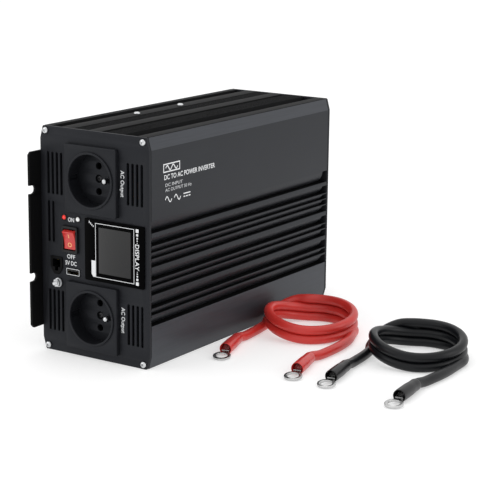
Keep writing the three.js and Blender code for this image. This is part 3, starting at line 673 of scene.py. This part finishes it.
case = bmesh.new()
CASE_FRONT, CASE_REAR = PANEL_T + GAP, CASE_L - PANEL_T - GAP
rebate = CASE_REAR - REAR_REBATE
add_slab(case, case_outline(rolled_fins()), [], [(CASE_FRONT, 0), (rebate, 0)])
add_slab(case, case_outline(plain_fins()), [], [(rebate + SEAM, 0), (CASE_REAR, 0)])
case.normal_update()
for face in case.faces:
    middle, normal = face.calc_center_median(), face.normal
    deepest = max(abs(RIGHT - vertex.co.x) for vertex in face.verts)
    # Top and bottom faces: the darker copy, painted shade.
    if abs(middle.x) < 48 and (middle.z > CASE_H - 5.5 or middle.z < 5.5):
        face.material_index = 1
    # The fins' upward faces and the rebate's deep faces: the darkest copy, painted shade.
    elif middle.x > RIGHT - 8 and (abs(normal.z) > 0.99 or (middle.y > rebate and deepest > 6.5)):
        face.material_index = 2
    # Shoulders and lower face: the lighter copy, painted highlight.
    elif middle.z < LOWER_FACE_TOP or middle.z > CASE_H - SHOULDER_Z:
        face.material_index = 3
finish_mesh("extruded_case", case, [ANODISED, CASE_TOP_SHADED, GROOVE_SHADE, ANODISED_LIT],
            replaces="case_shell", slot="case", angle=24)


PANEL_OUTLINE = rounded([(LEFT + SHOULDER_X, 0), (RIGHT - SHOULDER_X, 0), (RIGHT, SHOULDER_Z),
                         (RIGHT, CASE_H - SHOULDER_Z), (RIGHT - SHOULDER_X, CASE_H),
                         (LEFT + SHOULDER_X, CASE_H), (LEFT, CASE_H - SHOULDER_Z), (LEFT, SHOULDER_Z)], 1.0)

PLATE_LOW, PLATE_HIGH = 18.0, 152.0
NOTCH_Z = (57.0, 123.6)


def plate_outline():
    """The mounting plate in y and z, counter-clockwise, with round-bottomed notches."""
    front, back = -12.0, CASE_L + 12.0
    corner, half, depth = 2.2, 3.2, 6.2

    def notch(edge, inward, z, upward):
        centre = edge + inward * (depth - half)
        angles = [radians(a) for a in range(0, 181, 20)]
        arc = [(centre + inward * half * sin(a), z - upward * half * cos(a)) for a in angles]
        return [(edge, z - upward * half), *arc, (edge, z + upward * half)]

    up = [(back, PLATE_LOW + corner)] + [p for z in NOTCH_Z for p in notch(back, -1, z, 1)]
    down = [p for z in reversed(NOTCH_Z) for p in notch(front, 1, z, -1)]
    return [(front + corner, PLATE_LOW), (back - corner, PLATE_LOW), *up, (back, PLATE_HIGH - corner),
            (back - corner, PLATE_HIGH), (front + corner, PLATE_HIGH), (front, PLATE_HIGH - corner),
            *down, (front, PLATE_LOW + corner)]


mounting = bmesh.new()
add_slab(mounting, plate_outline(), [], rounded_levels(LEFT - 2.5, LEFT - GAP, 0.3), "x")
for y, z in ((30, 32), (30, 139), (192, 32), (192, 139)):
    add_lathe(mounting, [(0, 0), (3, 0), (3, 11.7), (0, 11.7)], (LEFT - GAP, y, z), (1, 0, 0), 20)
finish_mesh("mounting_plate", mounting, BLACK_METAL, replaces="base_plate", slot="black_metal")

# ---------------- end panels
SCREW_X, SCREW_Z = 44.7, (3.6, CASE_H - 3.6)
SOCKET_X, SOCKET_Z = -1.0, {"upper": 135.0, "lower": 31.7}
SLOTS = [(31.1, 120.3, 151.2, 4), (31.1, 16, 46.9, 4), (-42.8, 120.3, 152, 4),
         (-42.8, 84, 115.2, 2), (-43, 15.8, 47.6, 4)]
SLOT_W, SLOT_PITCH = 2.1, 4.15
LAMPS = {"fault": -28.0, "power": -15.0}
LAMP_Z = 104.2
SWITCH = (-22.4, 88.0)
USB = (-20.0, 63.6)
JACK = (-35.6, 67.2)
GROUND = (-34.0, 53.8)
BEZEL = (19.2, 83.4, 54.4, 46.4)
LCD = (19.4, 83.7, 30.0, 35.0)


def shield(x, z, margin):
    """An outline with a narrower lower end, widened by a margin."""
    return [(x - 1.8 - margin / 2, z - 6 - margin), (x + 1.8 + margin / 2, z - 6 - margin),
            (x + 4.4 + margin, z - 1.6 - margin / 2), (x + 4.4 + margin, z + 5.2 + margin),
            (x - 4.4 - margin, z + 5.2 + margin), (x - 4.4 - margin, z - 1.6 - margin / 2)]


screw_holes = [circle(x, z, 1.9, 20) for x in (-SCREW_X, SCREW_X) for z in SCREW_Z]
slots = [rectangle(first + i * SLOT_PITCH, (low + high) / 2, SLOT_W, high - low, SLOT_W / 2 - 0.01)
         for first, low, high, count in SLOTS for i in range(count)]
front_holes = screw_holes + slots + [circle(SOCKET_X, z, 21.8, 64) for z in SOCKET_Z.values()]
front_holes += [circle(x, LAMP_Z, 1.8, 24) for x in LAMPS.values()]
front_holes += [rectangle(*SWITCH, 13.4, 18, 0.6), rectangle(*USB, 13, 5.7, 0.6),
                shield(*JACK, 0.3), circle(*GROUND, 2.0, 24),
                rectangle(*LCD[:2], LCD[2] + 1, LCD[3] + 1)]
slab("front_panel_plate", PANEL_OUTLINE, front_holes, rounded_levels(0, PANEL_T, 0.3), PANEL,
     replaces="front_panel", slot="panel")

FAN = (-2.5, 118.0)
FAN_OPENING_R = 37.8
TERMINALS = {"positive": 20.0, "negative": -20.0}
TERMINAL_Z = 36.0
rear_holes = screw_holes + [circle(*FAN, FAN_OPENING_R, 72)]
rear_holes += [circle(x, TERMINAL_Z, 4.6, 24) for x in TERMINALS.values()]
slab("rear_panel_plate", PANEL_OUTLINE, rear_holes, rounded_levels(CASE_L - PANEL_T, CASE_L, 0.3), PANEL,
     replaces="rear_panel", slot="panel")


# ---------------- screws
def screw_mesh(shaft):
    """A pan-head screw with a cross recess, its head towards -y and its seat at y = 0."""
    bm = bmesh.new()
    profile = [(0, -1.5), (0.7, -1.47), (1.4, -1.3), (1.95, -1.0), (2.3, -0.6), (2.4, -0.2), (2.3, 0),
               (1.5, 0), (1.5, shaft - 1), (0.9, shaft), (0, shaft)]
    add_lathe(bm, profile, sides=32)
    bmesh.ops.recalc_face_normals(bm, faces=bm.faces)
    head = bpy.data.meshes.new("screw_blank")
    bm.to_mesh(head)
    bm.free()
    cutter = bmesh.new()
    for turn in (0, pi / 2):
        spin = Matrix.Rotation(turn, 4, "Y")
        for vertex in bmesh.ops.create_cube(cutter, size=1.0)["verts"]:
            arm, width = (1.26, 0.4) if vertex.co.y > 0 else (3.0, 0.62)
            vertex.co = spin @ Vector((vertex.co.x * arm, vertex.co.y * 1.9 - 1.4, vertex.co.z * width))
    cross = bpy.data.meshes.new("screw_cross")
    cutter.to_mesh(cross)
    cutter.free()
    blank, tool = new_object("screw_blank", head), new_object("screw_cross", cross)
    recess = blank.modifiers.new("recess", "BOOLEAN")
    recess.object = tool
    recess.operation = "DIFFERENCE"
    recess.use_self = True
    mesh = evaluated_mesh(blank)
    bpy.data.objects.remove(tool)
    return mesh


def add_screws(groups):
    for length, material, entries in groups:
        template = screw_mesh(length)
        for node, origin, direction, roll in entries:
            bm = bmesh.new()
            bm.from_mesh(template)
            turn = Vector((0, -1, 0)).rotation_difference(Vector(direction)).to_matrix().to_4x4()
            bm.transform(Matrix.Translation(origin) @ turn @ Matrix.Rotation(radians(roll), 4, "Y"))
            finish_mesh(f"{node}_head", bm, material, replaces=node, slot="steel", angle=28)


corners = [(x, z) for z in SCREW_Z for x in (-SCREW_X, SCREW_X)]
panel_screws = []
for number, (x, z) in enumerate(corners, 1):
    panel_screws += [(f"front_screw_{number}", (x, -GAP, z), (0, -1, 0), 17 * number),
                     (f"rear_screw_{number}", (x, CASE_L + GAP, z), (0, 1, 0), 29 * number)]
clamp_screws = [(f"clamp_screw_{i + 1}", (-25, y, CASE_H + GAP), (0, 0, 1), 40 * i + 10)
                for i, y in enumerate((85, 142))]
socket_screws = [(f"socket_screw_{name}", (SOCKET_X, 9.1, z), (0, -1, 0), 38)
                 for name, z in SOCKET_Z.items()]
add_screws([(12, STEEL, panel_screws), (15, STEEL, clamp_screws), (12, DARK_STEEL, socket_screws)])


# ---------------- sockets
RECESS_R, BODY_R = 19.3, 21.25
FLOOR_Y = 7.2
EARTH_X = SOCKET_X + 10
RIM = [(19.3, -2.5), (19.3, -3.85), (19.45, -4.25), (19.8, -4.4), (20.6, -4.4), (20.95, -4.2),
       (21.05, -3.8), (21.05, -3.3), (20.5, -2.5), (19.3, -2.5)]
PIN = [(0, -0.6), (0.8, -0.52), (1.5, -0.2), (1.95, 0.4), (2.25, 1.1), (2.4, 2), (2.4, 9.2), (0, 9.2)]


def notched_circle(z):
    """The recess's outline with a key notch at each side."""
    notch_x, half = RECESS_R + 1.4, 2.5
    return [(SOCKET_X + (copysign(notch_x, px) if abs(pz) < half else px), z + pz)
            for px, pz in circle(0, 0, RECESS_R, 96)]


for name, z in SOCKET_Z.items():
    socket = bmesh.new()
    body, well = circle(SOCKET_X, z, BODY_R, 96), circle(SOCKET_X, z, BODY_R, 48)
    add_slab(socket, rectangle(SOCKET_X, z, 47.5, 50.5, 1.4), [circle(SOCKET_X, z, RECESS_R + 1.2, 96)],
             rounded_levels(-3.5, -GAP, 0.6, both=False))
    add_lathe(socket, RIM, (SOCKET_X, 0, z), sides=96)
    add_slab(socket, body, [notched_circle(z)], [(-2.45, 0), (FLOOR_Y, 0)])
    contact_holes = [circle(SOCKET_X, z + side * 9.5, 2.6, 28) for side in (-1, 1)]
    seat_holes = [circle(SOCKET_X, z, 3.0, 28), circle(EARTH_X, z, 2.7, 28)]
    add_slab(socket, body, contact_holes + seat_holes, rounded_levels(FLOOR_Y + SEAM, 9.4, 0.3, both=False))
    # The layers behind the floor take the darker black paint: painted shade deep in the contact and seat
    # holes.
    add_slab(socket, well, contact_holes, [(9.4 + SEAM, 0), (16.5, 0)], material_index=1)
    add_slab(socket, well, [], [(16.5 + SEAM, 0), (17, 0)], material_index=1)
    finish_mesh(f"mains_socket_{name}", socket, [SOCKET_BLACK, BLACK_METAL],
                replaces=f"socket_{name}", slot="black_plastic")
    lathe(f"earth_contact_{name}", PIN, STEEL, (EARTH_X, 0, z), sides=36,
          replaces=f"earth_pin_{name}", slot="steel")

# ---------------- switch
switch = bmesh.new()
well = rectangle(*SWITCH, 11.4, 16, 0.5)
add_slab(switch, rectangle(*SWITCH, 15, 20, 1.4), [well], rounded_levels(-1.8, -GAP, 0.5, both=False))
barrel = rectangle(*SWITCH, 12.8, 17.4, 0.6)
add_slab(switch, barrel, [well], [(-GAP + SEAM, 0), (10.5, 0)])
add_slab(switch, barrel, [], [(10.5 + SEAM, 0), (16, 0)])
finish_mesh("switch_housing", switch, SWITCH_BLACK, replaces="switch_body", slot="black_plastic")

ROCKER_PIVOT = Vector((SWITCH[0], 0.8, SWITCH[1]))
ROCKER_LEAN = Matrix.Translation(ROCKER_PIVOT) @ Matrix.Rotation(radians(12), 4, "X")


ROCKER_HALF = 6.9


def rocker_face(z):
    return -2.2 - (z / ROCKER_HALF) ** 2


front_curve = [(rocker_face(z), z) for z in (ROCKER_HALF * (1 - i / 6) for i in range(13))]
rocker_side = rounded([*front_curve, (0.2, -7.4), (4.5, -5), (6, 0), (4.5, 5), (0.2, 7.4)], 0.5)
slab("rocker_cap", rocker_side, [], rounded_levels(-5.4, 5.4, 0.45), RED_PLASTIC, "x", ROCKER_LEAN,
     replaces="switch_rocker", slot="red_plastic", body="rocker")


def add_rocker_mark(bm, outline, hole, z_middle):
    """A flat mark laid on the rocker's curved face around one height."""
    slope = atan(-2 * z_middle / ROCKER_HALF ** 2)
    spot = Matrix.Translation((0, rocker_face(z_middle) - 0.02, z_middle))
    to_face = ROCKER_LEAN @ spot @ Matrix.Rotation(-slope, 4, "X")
    add_slab(bm, outline, hole, [(-0.04, 0), (0.0, 0)], turn=to_face)


marks = bmesh.new()
add_rocker_mark(marks, rectangle(0, 0, 0.55, 2.9, 0.2), [], 3.4)
add_rocker_mark(marks, circle(0, 0, 1.75, 32), [circle(0, 0, 1.25, 32)], -3.5)
finish_mesh("rocker_marks", marks, LABEL_CREAM, slot="red_plastic", body="rocker")

# ---------------- lamps and ports
lamp = [(0, -1.45), (0.55, -1.38), (1.05, -1.18), (1.45, -0.85), (1.7, -0.4), (1.75, -0.06),
        (1.48, 0.1), (1.48, 6), (0, 6)]
collar = [(1.8, -0.5), (2.15, -0.55), (2.55, -0.3), (2.6, -0.05), (1.8, -0.05), (1.8, -0.5)]
for name, material, slot_name in (("fault", RED_LAMP, "red_lamp"), ("power", WHITE_LAMP, "white_lamp")):
    origin = (LAMPS[name], 0, LAMP_Z)
    lathe(f"{name}_lamp_dome", lamp, material, origin, sides=32,
          replaces=f"{name}_lamp", slot=slot_name)
    lathe(f"{name}_lamp_collar", collar, SWITCH_BLACK, origin, sides=32, slot="black_plastic")

usb = bmesh.new()
shell, tongue = rectangle(*USB, 12.4, 5, 0.5), rectangle(USB[0], USB[1] + 0.9, 9.6, 1.4, 0.2)
add_slab(usb, shell, [rectangle(*USB, 11.4, 4, 0.3)], rounded_levels(-0.7, 12.5, 0.2, both=False))
add_slab(usb, shell, [], [(12.5 + SEAM, 0), (14, 0)])
add_slab(usb, tongue, [], rounded_levels(0.6, 12.4, 0.15, both=False), material_index=1)
for i in range(4):
    contact = rectangle(USB[0] - 3.5 + 2.33 * i, USB[1] + 0.12, 1.1, 0.16)
    add_slab(usb, contact, [], [(1.4, 0), (9, 0)], material_index=2)
finish_mesh("usb_socket", usb, [STEEL, SWITCH_BLACK, GOLD], replaces="usb_port", slot="steel")

jack = bmesh.new()
jx, jz = JACK
mouth = [(jx - 1.5, jz - 4.6), (jx + 1.5, jz - 4.6), (jx + 1.5, jz - 1.6), (jx + 3.6, jz - 1.6),
         (jx + 3.6, jz + 4.4), (jx - 3.6, jz + 4.4), (jx - 3.6, jz - 1.6), (jx - 1.5, jz - 1.6)]
add_slab(jack, rounded(shield(jx, jz, 1.2), 1.0), [mouth], rounded_levels(-0.9, -GAP, 0.3, both=False))
add_slab(jack, shield(jx, jz, 0), [mouth], [(-GAP + SEAM, 0), (12, 0)])
add_slab(jack, shield(jx, jz, 0), [], [(12 + SEAM, 0), (15, 0)])
for i in range(4):
    contact = rectangle(jx - 1.95 + 1.3 * i, jz + 4.0, 0.45, 0.45)
    add_slab(jack, contact, [], [(1.2, 0), (10, 0)], material_index=1)
finish_mesh("remote_socket", jack, [BLACK_METAL, GOLD], replaces="remote_jack", slot="black_plastic")

ground = bmesh.new()
gx, gz = GROUND
thread = [(1.5 if i % 2 else 1.28, -6.0 + 0.3 * i) for i in range(44)]
add_lathe(ground, [(0, -6.2), (1.1, -6.2), *thread, (0, 7.2)], (gx, 0, gz), sides=28)
hexagon = [polar(3.2, radians(60 * i + 12), gx, gz) for i in range(6)]
add_slab(ground, rounded(hexagon, 0.25), [circle(gx, gz, 1.3, 28)], rounded_levels(-3.6, -1.35, 0.3))
add_slab(ground, circle(gx, gz, 3.5, 40), [circle(gx, gz, 1.6, 28)], rounded_levels(-1.3, -GAP, 0.2))
finish_mesh("ground_stud", ground, STEEL, replaces="ground_terminal", slot="steel")

# ---------------- display
slab("display_frame", rectangle(*BEZEL, 1.2), [rectangle(*LCD, 0.3)], rounded_levels(-1.3, -GAP, 0.25),
     GLOSS_BLACK, replaces="display_bezel", slot="gloss_black")
slab("display_panel", rectangle(*LCD[:2], LCD[2] - 0.6, LCD[3] - 0.6, 0.3), [],
     rounded_levels(-1.0, 6.0, 0.15, both=False), SCREEN, replaces="display_screen", slot="screen")

graphics = bmesh.new()
PRINT = [(-1.33, 0), (-1.305, 0)]
FRAME_SPOT, FRAME_W, FRAME_H, LINE = (19.75, 83.65), 35.5, 40.7, 0.42
add_slab(graphics, rectangle(*FRAME_SPOT, FRAME_W, FRAME_H),
         [rectangle(*FRAME_SPOT, FRAME_W - 2 * LINE, FRAME_H - 2 * LINE)], PRINT)
add_slab(graphics, [(-1.7, 65.4), (-0.2, 63.4), (1.9, 63.4), (1.9, 75.6), (-1.7, 75.6)], [], PRINT)
for z, side in ((103.0, 2.6), (99.9, 1.75), (97.5, 1.25), (95.6, 0.9), (94.1, 0.6),
                (63.9, 2.6), (67.0, 1.75), (69.4, 1.25), (71.2, 0.9), (72.6, 0.6)):
    add_slab(graphics, rectangle(40.3, z, side, side, side * 0.2), [], PRINT)
for i, (x, z) in enumerate(((-3.4, 104.1), (-2.2, 103.2), (-1.0, 102.2), (0.2, 101.4))):
    add_slab(graphics, rectangle(x, z, 0.7, 1.6 - 0.15 * i), [], PRINT)
finish_mesh("display_graphics", graphics, LABEL_WHITE, slot="gloss_black")


# ---------------- printed labels
CAP_SHARE = 0.69  # a capital's height as a share of the font's size
FACE_X, FACE_Y = RIGHT + 0.04, -0.04


def add_text(bm, text, cap_height, origin, right, up, length):
    """Adds generic lettering of a set length; origin is the middle of the text's box."""
    font = bpy.data.curves.new("lettering", "FONT")
    font.body = text
    font.size = cap_height / CAP_SHARE
    font.offset = 0.012 * font.size
    font.resolution_u = 3
    mesh = evaluated_mesh(new_object("lettering", font))
    xs = [v.co.x for v in mesh.vertices]
    ys = [v.co.y for v in mesh.vertices]
    middle = ((min(xs) + max(xs)) / 2, (min(ys) + max(ys)) / 2)
    squeeze = length / (max(xs) - min(xs))
    side, top = Vector(right), Vector(up)
    for vertex in mesh.vertices:
        u, v = (vertex.co.x - middle[0]) * squeeze, vertex.co.y - middle[1]
        vertex.co = Vector(origin) + side * u + top * v
    bm.from_mesh(mesh)
    bpy.data.meshes.remove(mesh)


def add_strip(bm, points, width=0.8):
    """A line of even width printed on the finned side, along points given by y and z."""
    rows = []
    for before, here, after in zip([points[0]] + points, points, points[1:] + [points[-1]]):
        along = (Vector(after) - Vector(before)).normalized()
        across = Vector((-along.y, along.x)) * width / 2
        rows.append([bm.verts.new((FACE_X, *(Vector(here) + across * side))) for side in (-1, 1)])
    for a, b in zip(rows, rows[1:]):
        bm.faces.new((a[0], b[0], b[1], a[1]))


front_text = bmesh.new()
ACROSS, UP, DOWN = (1, 0, 0), (0, 0, 1), (0, 0, -1)
add_text(front_text, "ON", 3.1, (-21.6, FACE_Y, 103.0), ACROSS, UP, 5.6)
add_text(front_text, "OFF", 3.1, (-22.0, FACE_Y, 75.0), ACROSS, UP, 7.6)
add_text(front_text, "5V DC", 3.1, (-22.2, FACE_Y, 70.0), ACROSS, UP, 10.6)
for z in (135.5, 34.0):
    add_text(front_text, "AC Output", 3.2, (25.8, FACE_Y, z), DOWN, ACROSS, 19.4)
add_text(front_text, "DISPLAY", 3.4, (40.2, -1.34, 83.3), DOWN, ACROSS, 19.4)
finish_mesh("front_lettering", front_text, LABEL_WHITE, slot="panel")

side_text = bmesh.new()
BACK = (0, 1, 0)


def sine(y0, y1, middle, height, cycles):
    shares = [i / 48 for i in range(49)]
    return [(y0 + (y1 - y0) * t, middle + height * sin(2 * pi * cycles * t)) for t in shares]


for z in (143.85, 149.45):
    add_strip(side_text, [(17.1, z), (37.5, z)])
for y in (17.5, 37.1):
    add_strip(side_text, [(y, 144.27), (y, 149.03)])
add_strip(side_text, sine(20, 34.6, 146.6, 1.7, 2))
add_text(side_text, "DC TO AC POWER INVERTER", 3.5, (FACE_X, 50.2, 139.9), BACK, UP, 63.8)
for y in (19.5, 30.5):
    add_strip(side_text, sine(y, y + 8, 123.4, 2.1, 1), 0.75)
add_strip(side_text, [(42, 124.6), (50.6, 124.6)])
for y in (42.0, 45.2, 48.4):
    add_strip(side_text, [(y, 122.4), (y + 2.2, 122.4)])
finish_mesh("side_lettering", side_text, LABEL_WHITE, slot="case")
small_text = bmesh.new()
add_text(small_text, "DC INPUT", 2.3, (FACE_X, 30.2, 134.1), BACK, UP, 21.2)
add_text(small_text, "AC OUTPUT 50 Hz", 2.3, (FACE_X, 35.8, 130.4), BACK, UP, 32.6)
finish_mesh("side_small_lettering", small_text, LABEL_GREY, slot="case")

# ---------------- fan
fx, fz = FAN
FAN_SIZE, FAN_T = 80, 25
FAN_FRONT = CASE_L - PANEL_T - GAP - FAN_T
fan = bmesh.new()
mount_holes = [circle(fx + side, fz + rise, 2.2, 16) for side in (-35.7, 35.7) for rise in (-35.7, 35.7)]
add_slab(fan, rectangle(fx, fz, FAN_SIZE, FAN_SIZE, 4), [circle(fx, fz, 38, 72), *mount_holes],
         rounded_levels(FAN_FRONT, FAN_FRONT + FAN_T, 0.4))
add_lathe(fan, [(0, 0), (14.6, 0), (15, 0.4), (15, 3), (0, 3)], (fx, FAN_FRONT, fz), sides=40)
for i in range(4):
    turn = Matrix.Translation((fx, FAN_FRONT, fz)) @ Matrix.Rotation(radians(45 + 90 * i), 4, "Y")
    add_slab(fan, rectangle(26.3, 0, 24.6, 3.2, 0.3), [], rounded_levels(0, 3, 0.3), turn=turn)
finish_mesh("fan_housing", fan, FAN_BLACK, replaces="fan_frame", slot="black_plastic")

rotor = bmesh.new()
ROTOR_Y = FAN_FRONT + 3.6
HUB = [(0, 0), (15.8, 0), (17, 1.2), (17, 17.2), (16.6, 18), (15.8, 18.4), (9, 18.4), (8.8, 18.2), (0, 18.2)]
BLADES, ROOT_R, BLADE_L = 7, 16.6, 19.3
CHORD, SPAN = 8, 5
add_lathe(rotor, HUB, (fx, ROTOR_Y, fz))
for blade in range(BLADES):
    base = 2 * pi * blade / BLADES
    grid = []
    for i in range(CHORD + 1):
        chord = i / CHORD
        depth = 2.4 + 13.6 * (chord + 0.12 * sin(pi * chord))
        row = []
        for j in range(SPAN + 1):
            sweep = base + (chord - 0.5) * 0.72 - 0.12 * j / SPAN
            x, z = polar(ROOT_R + BLADE_L * j / SPAN, sweep, fx, fz)
            row.append(Vector((x, ROTOR_Y + depth, z)))
        grid.append(row)
    thick = Vector((0, 0.65, 0))
    sheets = [[[rotor.verts.new(p + thick * s) for p in row] for row in grid] for s in (-1, 1)]
    for sheet in sheets:
        for i in range(CHORD):
            for j in range(SPAN):
                rotor.faces.new((sheet[i][j], sheet[i + 1][j], sheet[i + 1][j + 1], sheet[i][j + 1]))
    border = [(i, 0) for i in range(CHORD)] + [(CHORD, j) for j in range(SPAN)]
    border += [(i, SPAN) for i in range(CHORD, 0, -1)] + [(0, j) for j in range(SPAN, 0, -1)]
    for (a, b), (c, d) in zip(border, border[1:] + border[:1]):
        rotor.faces.new((sheets[0][a][b], sheets[0][c][d], sheets[1][c][d], sheets[1][a][b]))
finish_mesh("fan_wheel_blades", rotor, FAN_BLACK, replaces="fan_rotor", slot="black_plastic",
            body="fan_wheel")

guard = bmesh.new()
WIRE = 0.85
GUARD_Y = CASE_L + 2.5


def wire_ring(radius):
    return [polar(WIRE, 2 * pi * i / 10, radius) for i in range(11)]


for radius in (12, 24, 36):
    add_lathe(guard, wire_ring(radius), (fx, GUARD_Y, fz), sides=96)
for i in range(4):
    angle = radians(45 + 90 * i)
    run = (cos(angle), 0, sin(angle))
    start = Vector((fx, GUARD_Y - 1.35, fz)) + Vector(run) * 10
    add_lathe(guard, [(0, 0), (0.7, 0), (0.75, 0.2), (0.75, 32.4), (0.6, 32.8), (0, 32.8)], start, run, 12)
finish_mesh("fan_wire_guard", guard, STEEL, replaces="fan_guard", slot="steel")

# ---------------- battery terminals
KNOB_Y = 262.0
CONTACT_Y = KNOB_Y - 2.1
BLOCK_T = 7.3
block = bmesh.new()
stud_holes = [circle(x, TERMINAL_Z, 4.5, 28) for x in TERMINALS.values()]
add_slab(block, rectangle(0, TERMINAL_Z, 76, 36, 3), stud_holes,
         rounded_levels(CASE_L + GAP, CASE_L + BLOCK_T, 0.8))
add_slab(block, rectangle(0, TERMINAL_Z, 3, 32, 1.2), [], rounded_levels(CASE_L + 7, CASE_L + 18, 0.6))
finish_mesh("terminal_block", block, FAN_BLACK, replaces="terminal_base", slot="black_plastic")

marks = bmesh.new()
for name, x in TERMINALS.items():
    outlines = [rectangle(x * 1.62, TERMINAL_Z + 12.4, 4.2, 0.9)]
    if name == "positive":
        outlines += [rectangle(x * 1.62, TERMINAL_Z + rise, 0.9, 2.25) for rise in (13.975, 10.825)]
    for outline in outlines:
        add_slab(marks, outline, [], [(CASE_L + BLOCK_T - 0.02, 0), (CASE_L + BLOCK_T + 0.06, 0)])
finish_mesh("polarity_marks", marks, LABEL_WHITE, slot="black_plastic")

THREADS = [(4.0 if i % 2 else 3.55, 0.3 + 0.625 * i) for i in range(15)]
STUD = [(0, -22), (4, -22), (4, -2), (7.6, -2), (8, -1.6), (8, -0.4), (7.6, 0), (4, 0), *THREADS,
        (3.4, 9.5), (3.0, 9.8), (0, 9.8)]
WASHER = [(4.5, 0.15), (4.7, 0), (8.0, 0), (8.2, 0.2), (8.2, 1.3), (8.0, 1.5), (4.7, 1.5), (4.5, 1.35),
          (4.5, 0.15)]
KNOB_CAP = [(4.4, 7.9), (8.4, 7.9), (8.4, 9.1), (8.15, 9.7), (7.6, 10), (6.2, 10), (5.6, 9.5), (0, 9.4),
            (0, 8.6), (4.4, 8.6), (4.4, 7.9)]
GRIP_STEPS, GRIP_RIDGES = 144, 12

for name, x in TERMINALS.items():
    lathe(f"{name}_terminal_stud", STUD, BRASS, (x, CONTACT_Y, TERMINAL_Z), sides=40,
          replaces=f"{name}_stud", slot="brass")
    lathe(f"{name}_terminal_washer", WASHER, STEEL, (x, CONTACT_Y + GAP, TERMINAL_Z),
          replaces=f"{name}_washer", slot="steel", body=f"{name}_washer_slide")
    knob = bmesh.new()
    grip = []
    for i in range(GRIP_STEPS):
        angle = 2 * pi * i / GRIP_STEPS
        radius = 9.9 + 0.5 * tanh(2.5 * cos(GRIP_RIDGES * angle))
        grip.append(polar(radius, angle, x, TERMINAL_Z))
    add_slab(knob, grip, [circle(x, TERMINAL_Z, 4.5, 36)], rounded_levels(KNOB_Y, KNOB_Y + 8.4, 0.7))
    add_lathe(knob, KNOB_CAP, (x, KNOB_Y, TERMINAL_Z))
    colour, slot_name = (KNOB_RED, "red_plastic") if name == "positive" else (SWITCH_BLACK, "black_plastic")
    finish_mesh(f"{name}_terminal_knob", knob, colour, replaces=f"{name}_knob", slot=slot_name,
                body=f"{name}_knob_turn")

# ---------------- carried CAD pieces inside
INSIDE = {
    "main_board": BOARD, "capacitor_1": CAN_BLUE, "capacitor_2": CAN_BLUE, "transformer_core": FERRITE,
    "transformer_winding": COPPER, "output_choke": COPPER, "transistor_bar": FERRITE,
}
for node, material in INSIDE.items():
    mesh = NODES[node].data
    mesh.materials.clear()
    mesh.materials.append(material)

# ---------------- floor
ground_mesh = bpy.data.meshes.new("floor")
ground_mesh.from_pydata([(-9, -9, 0), (9, -9, 0), (9, 9, 0), (-9, 9, 0)], [], [(0, 1, 2, 3)])
ground_mesh.materials.append(floor_finish())
floor = new_object("floor", ground_mesh)
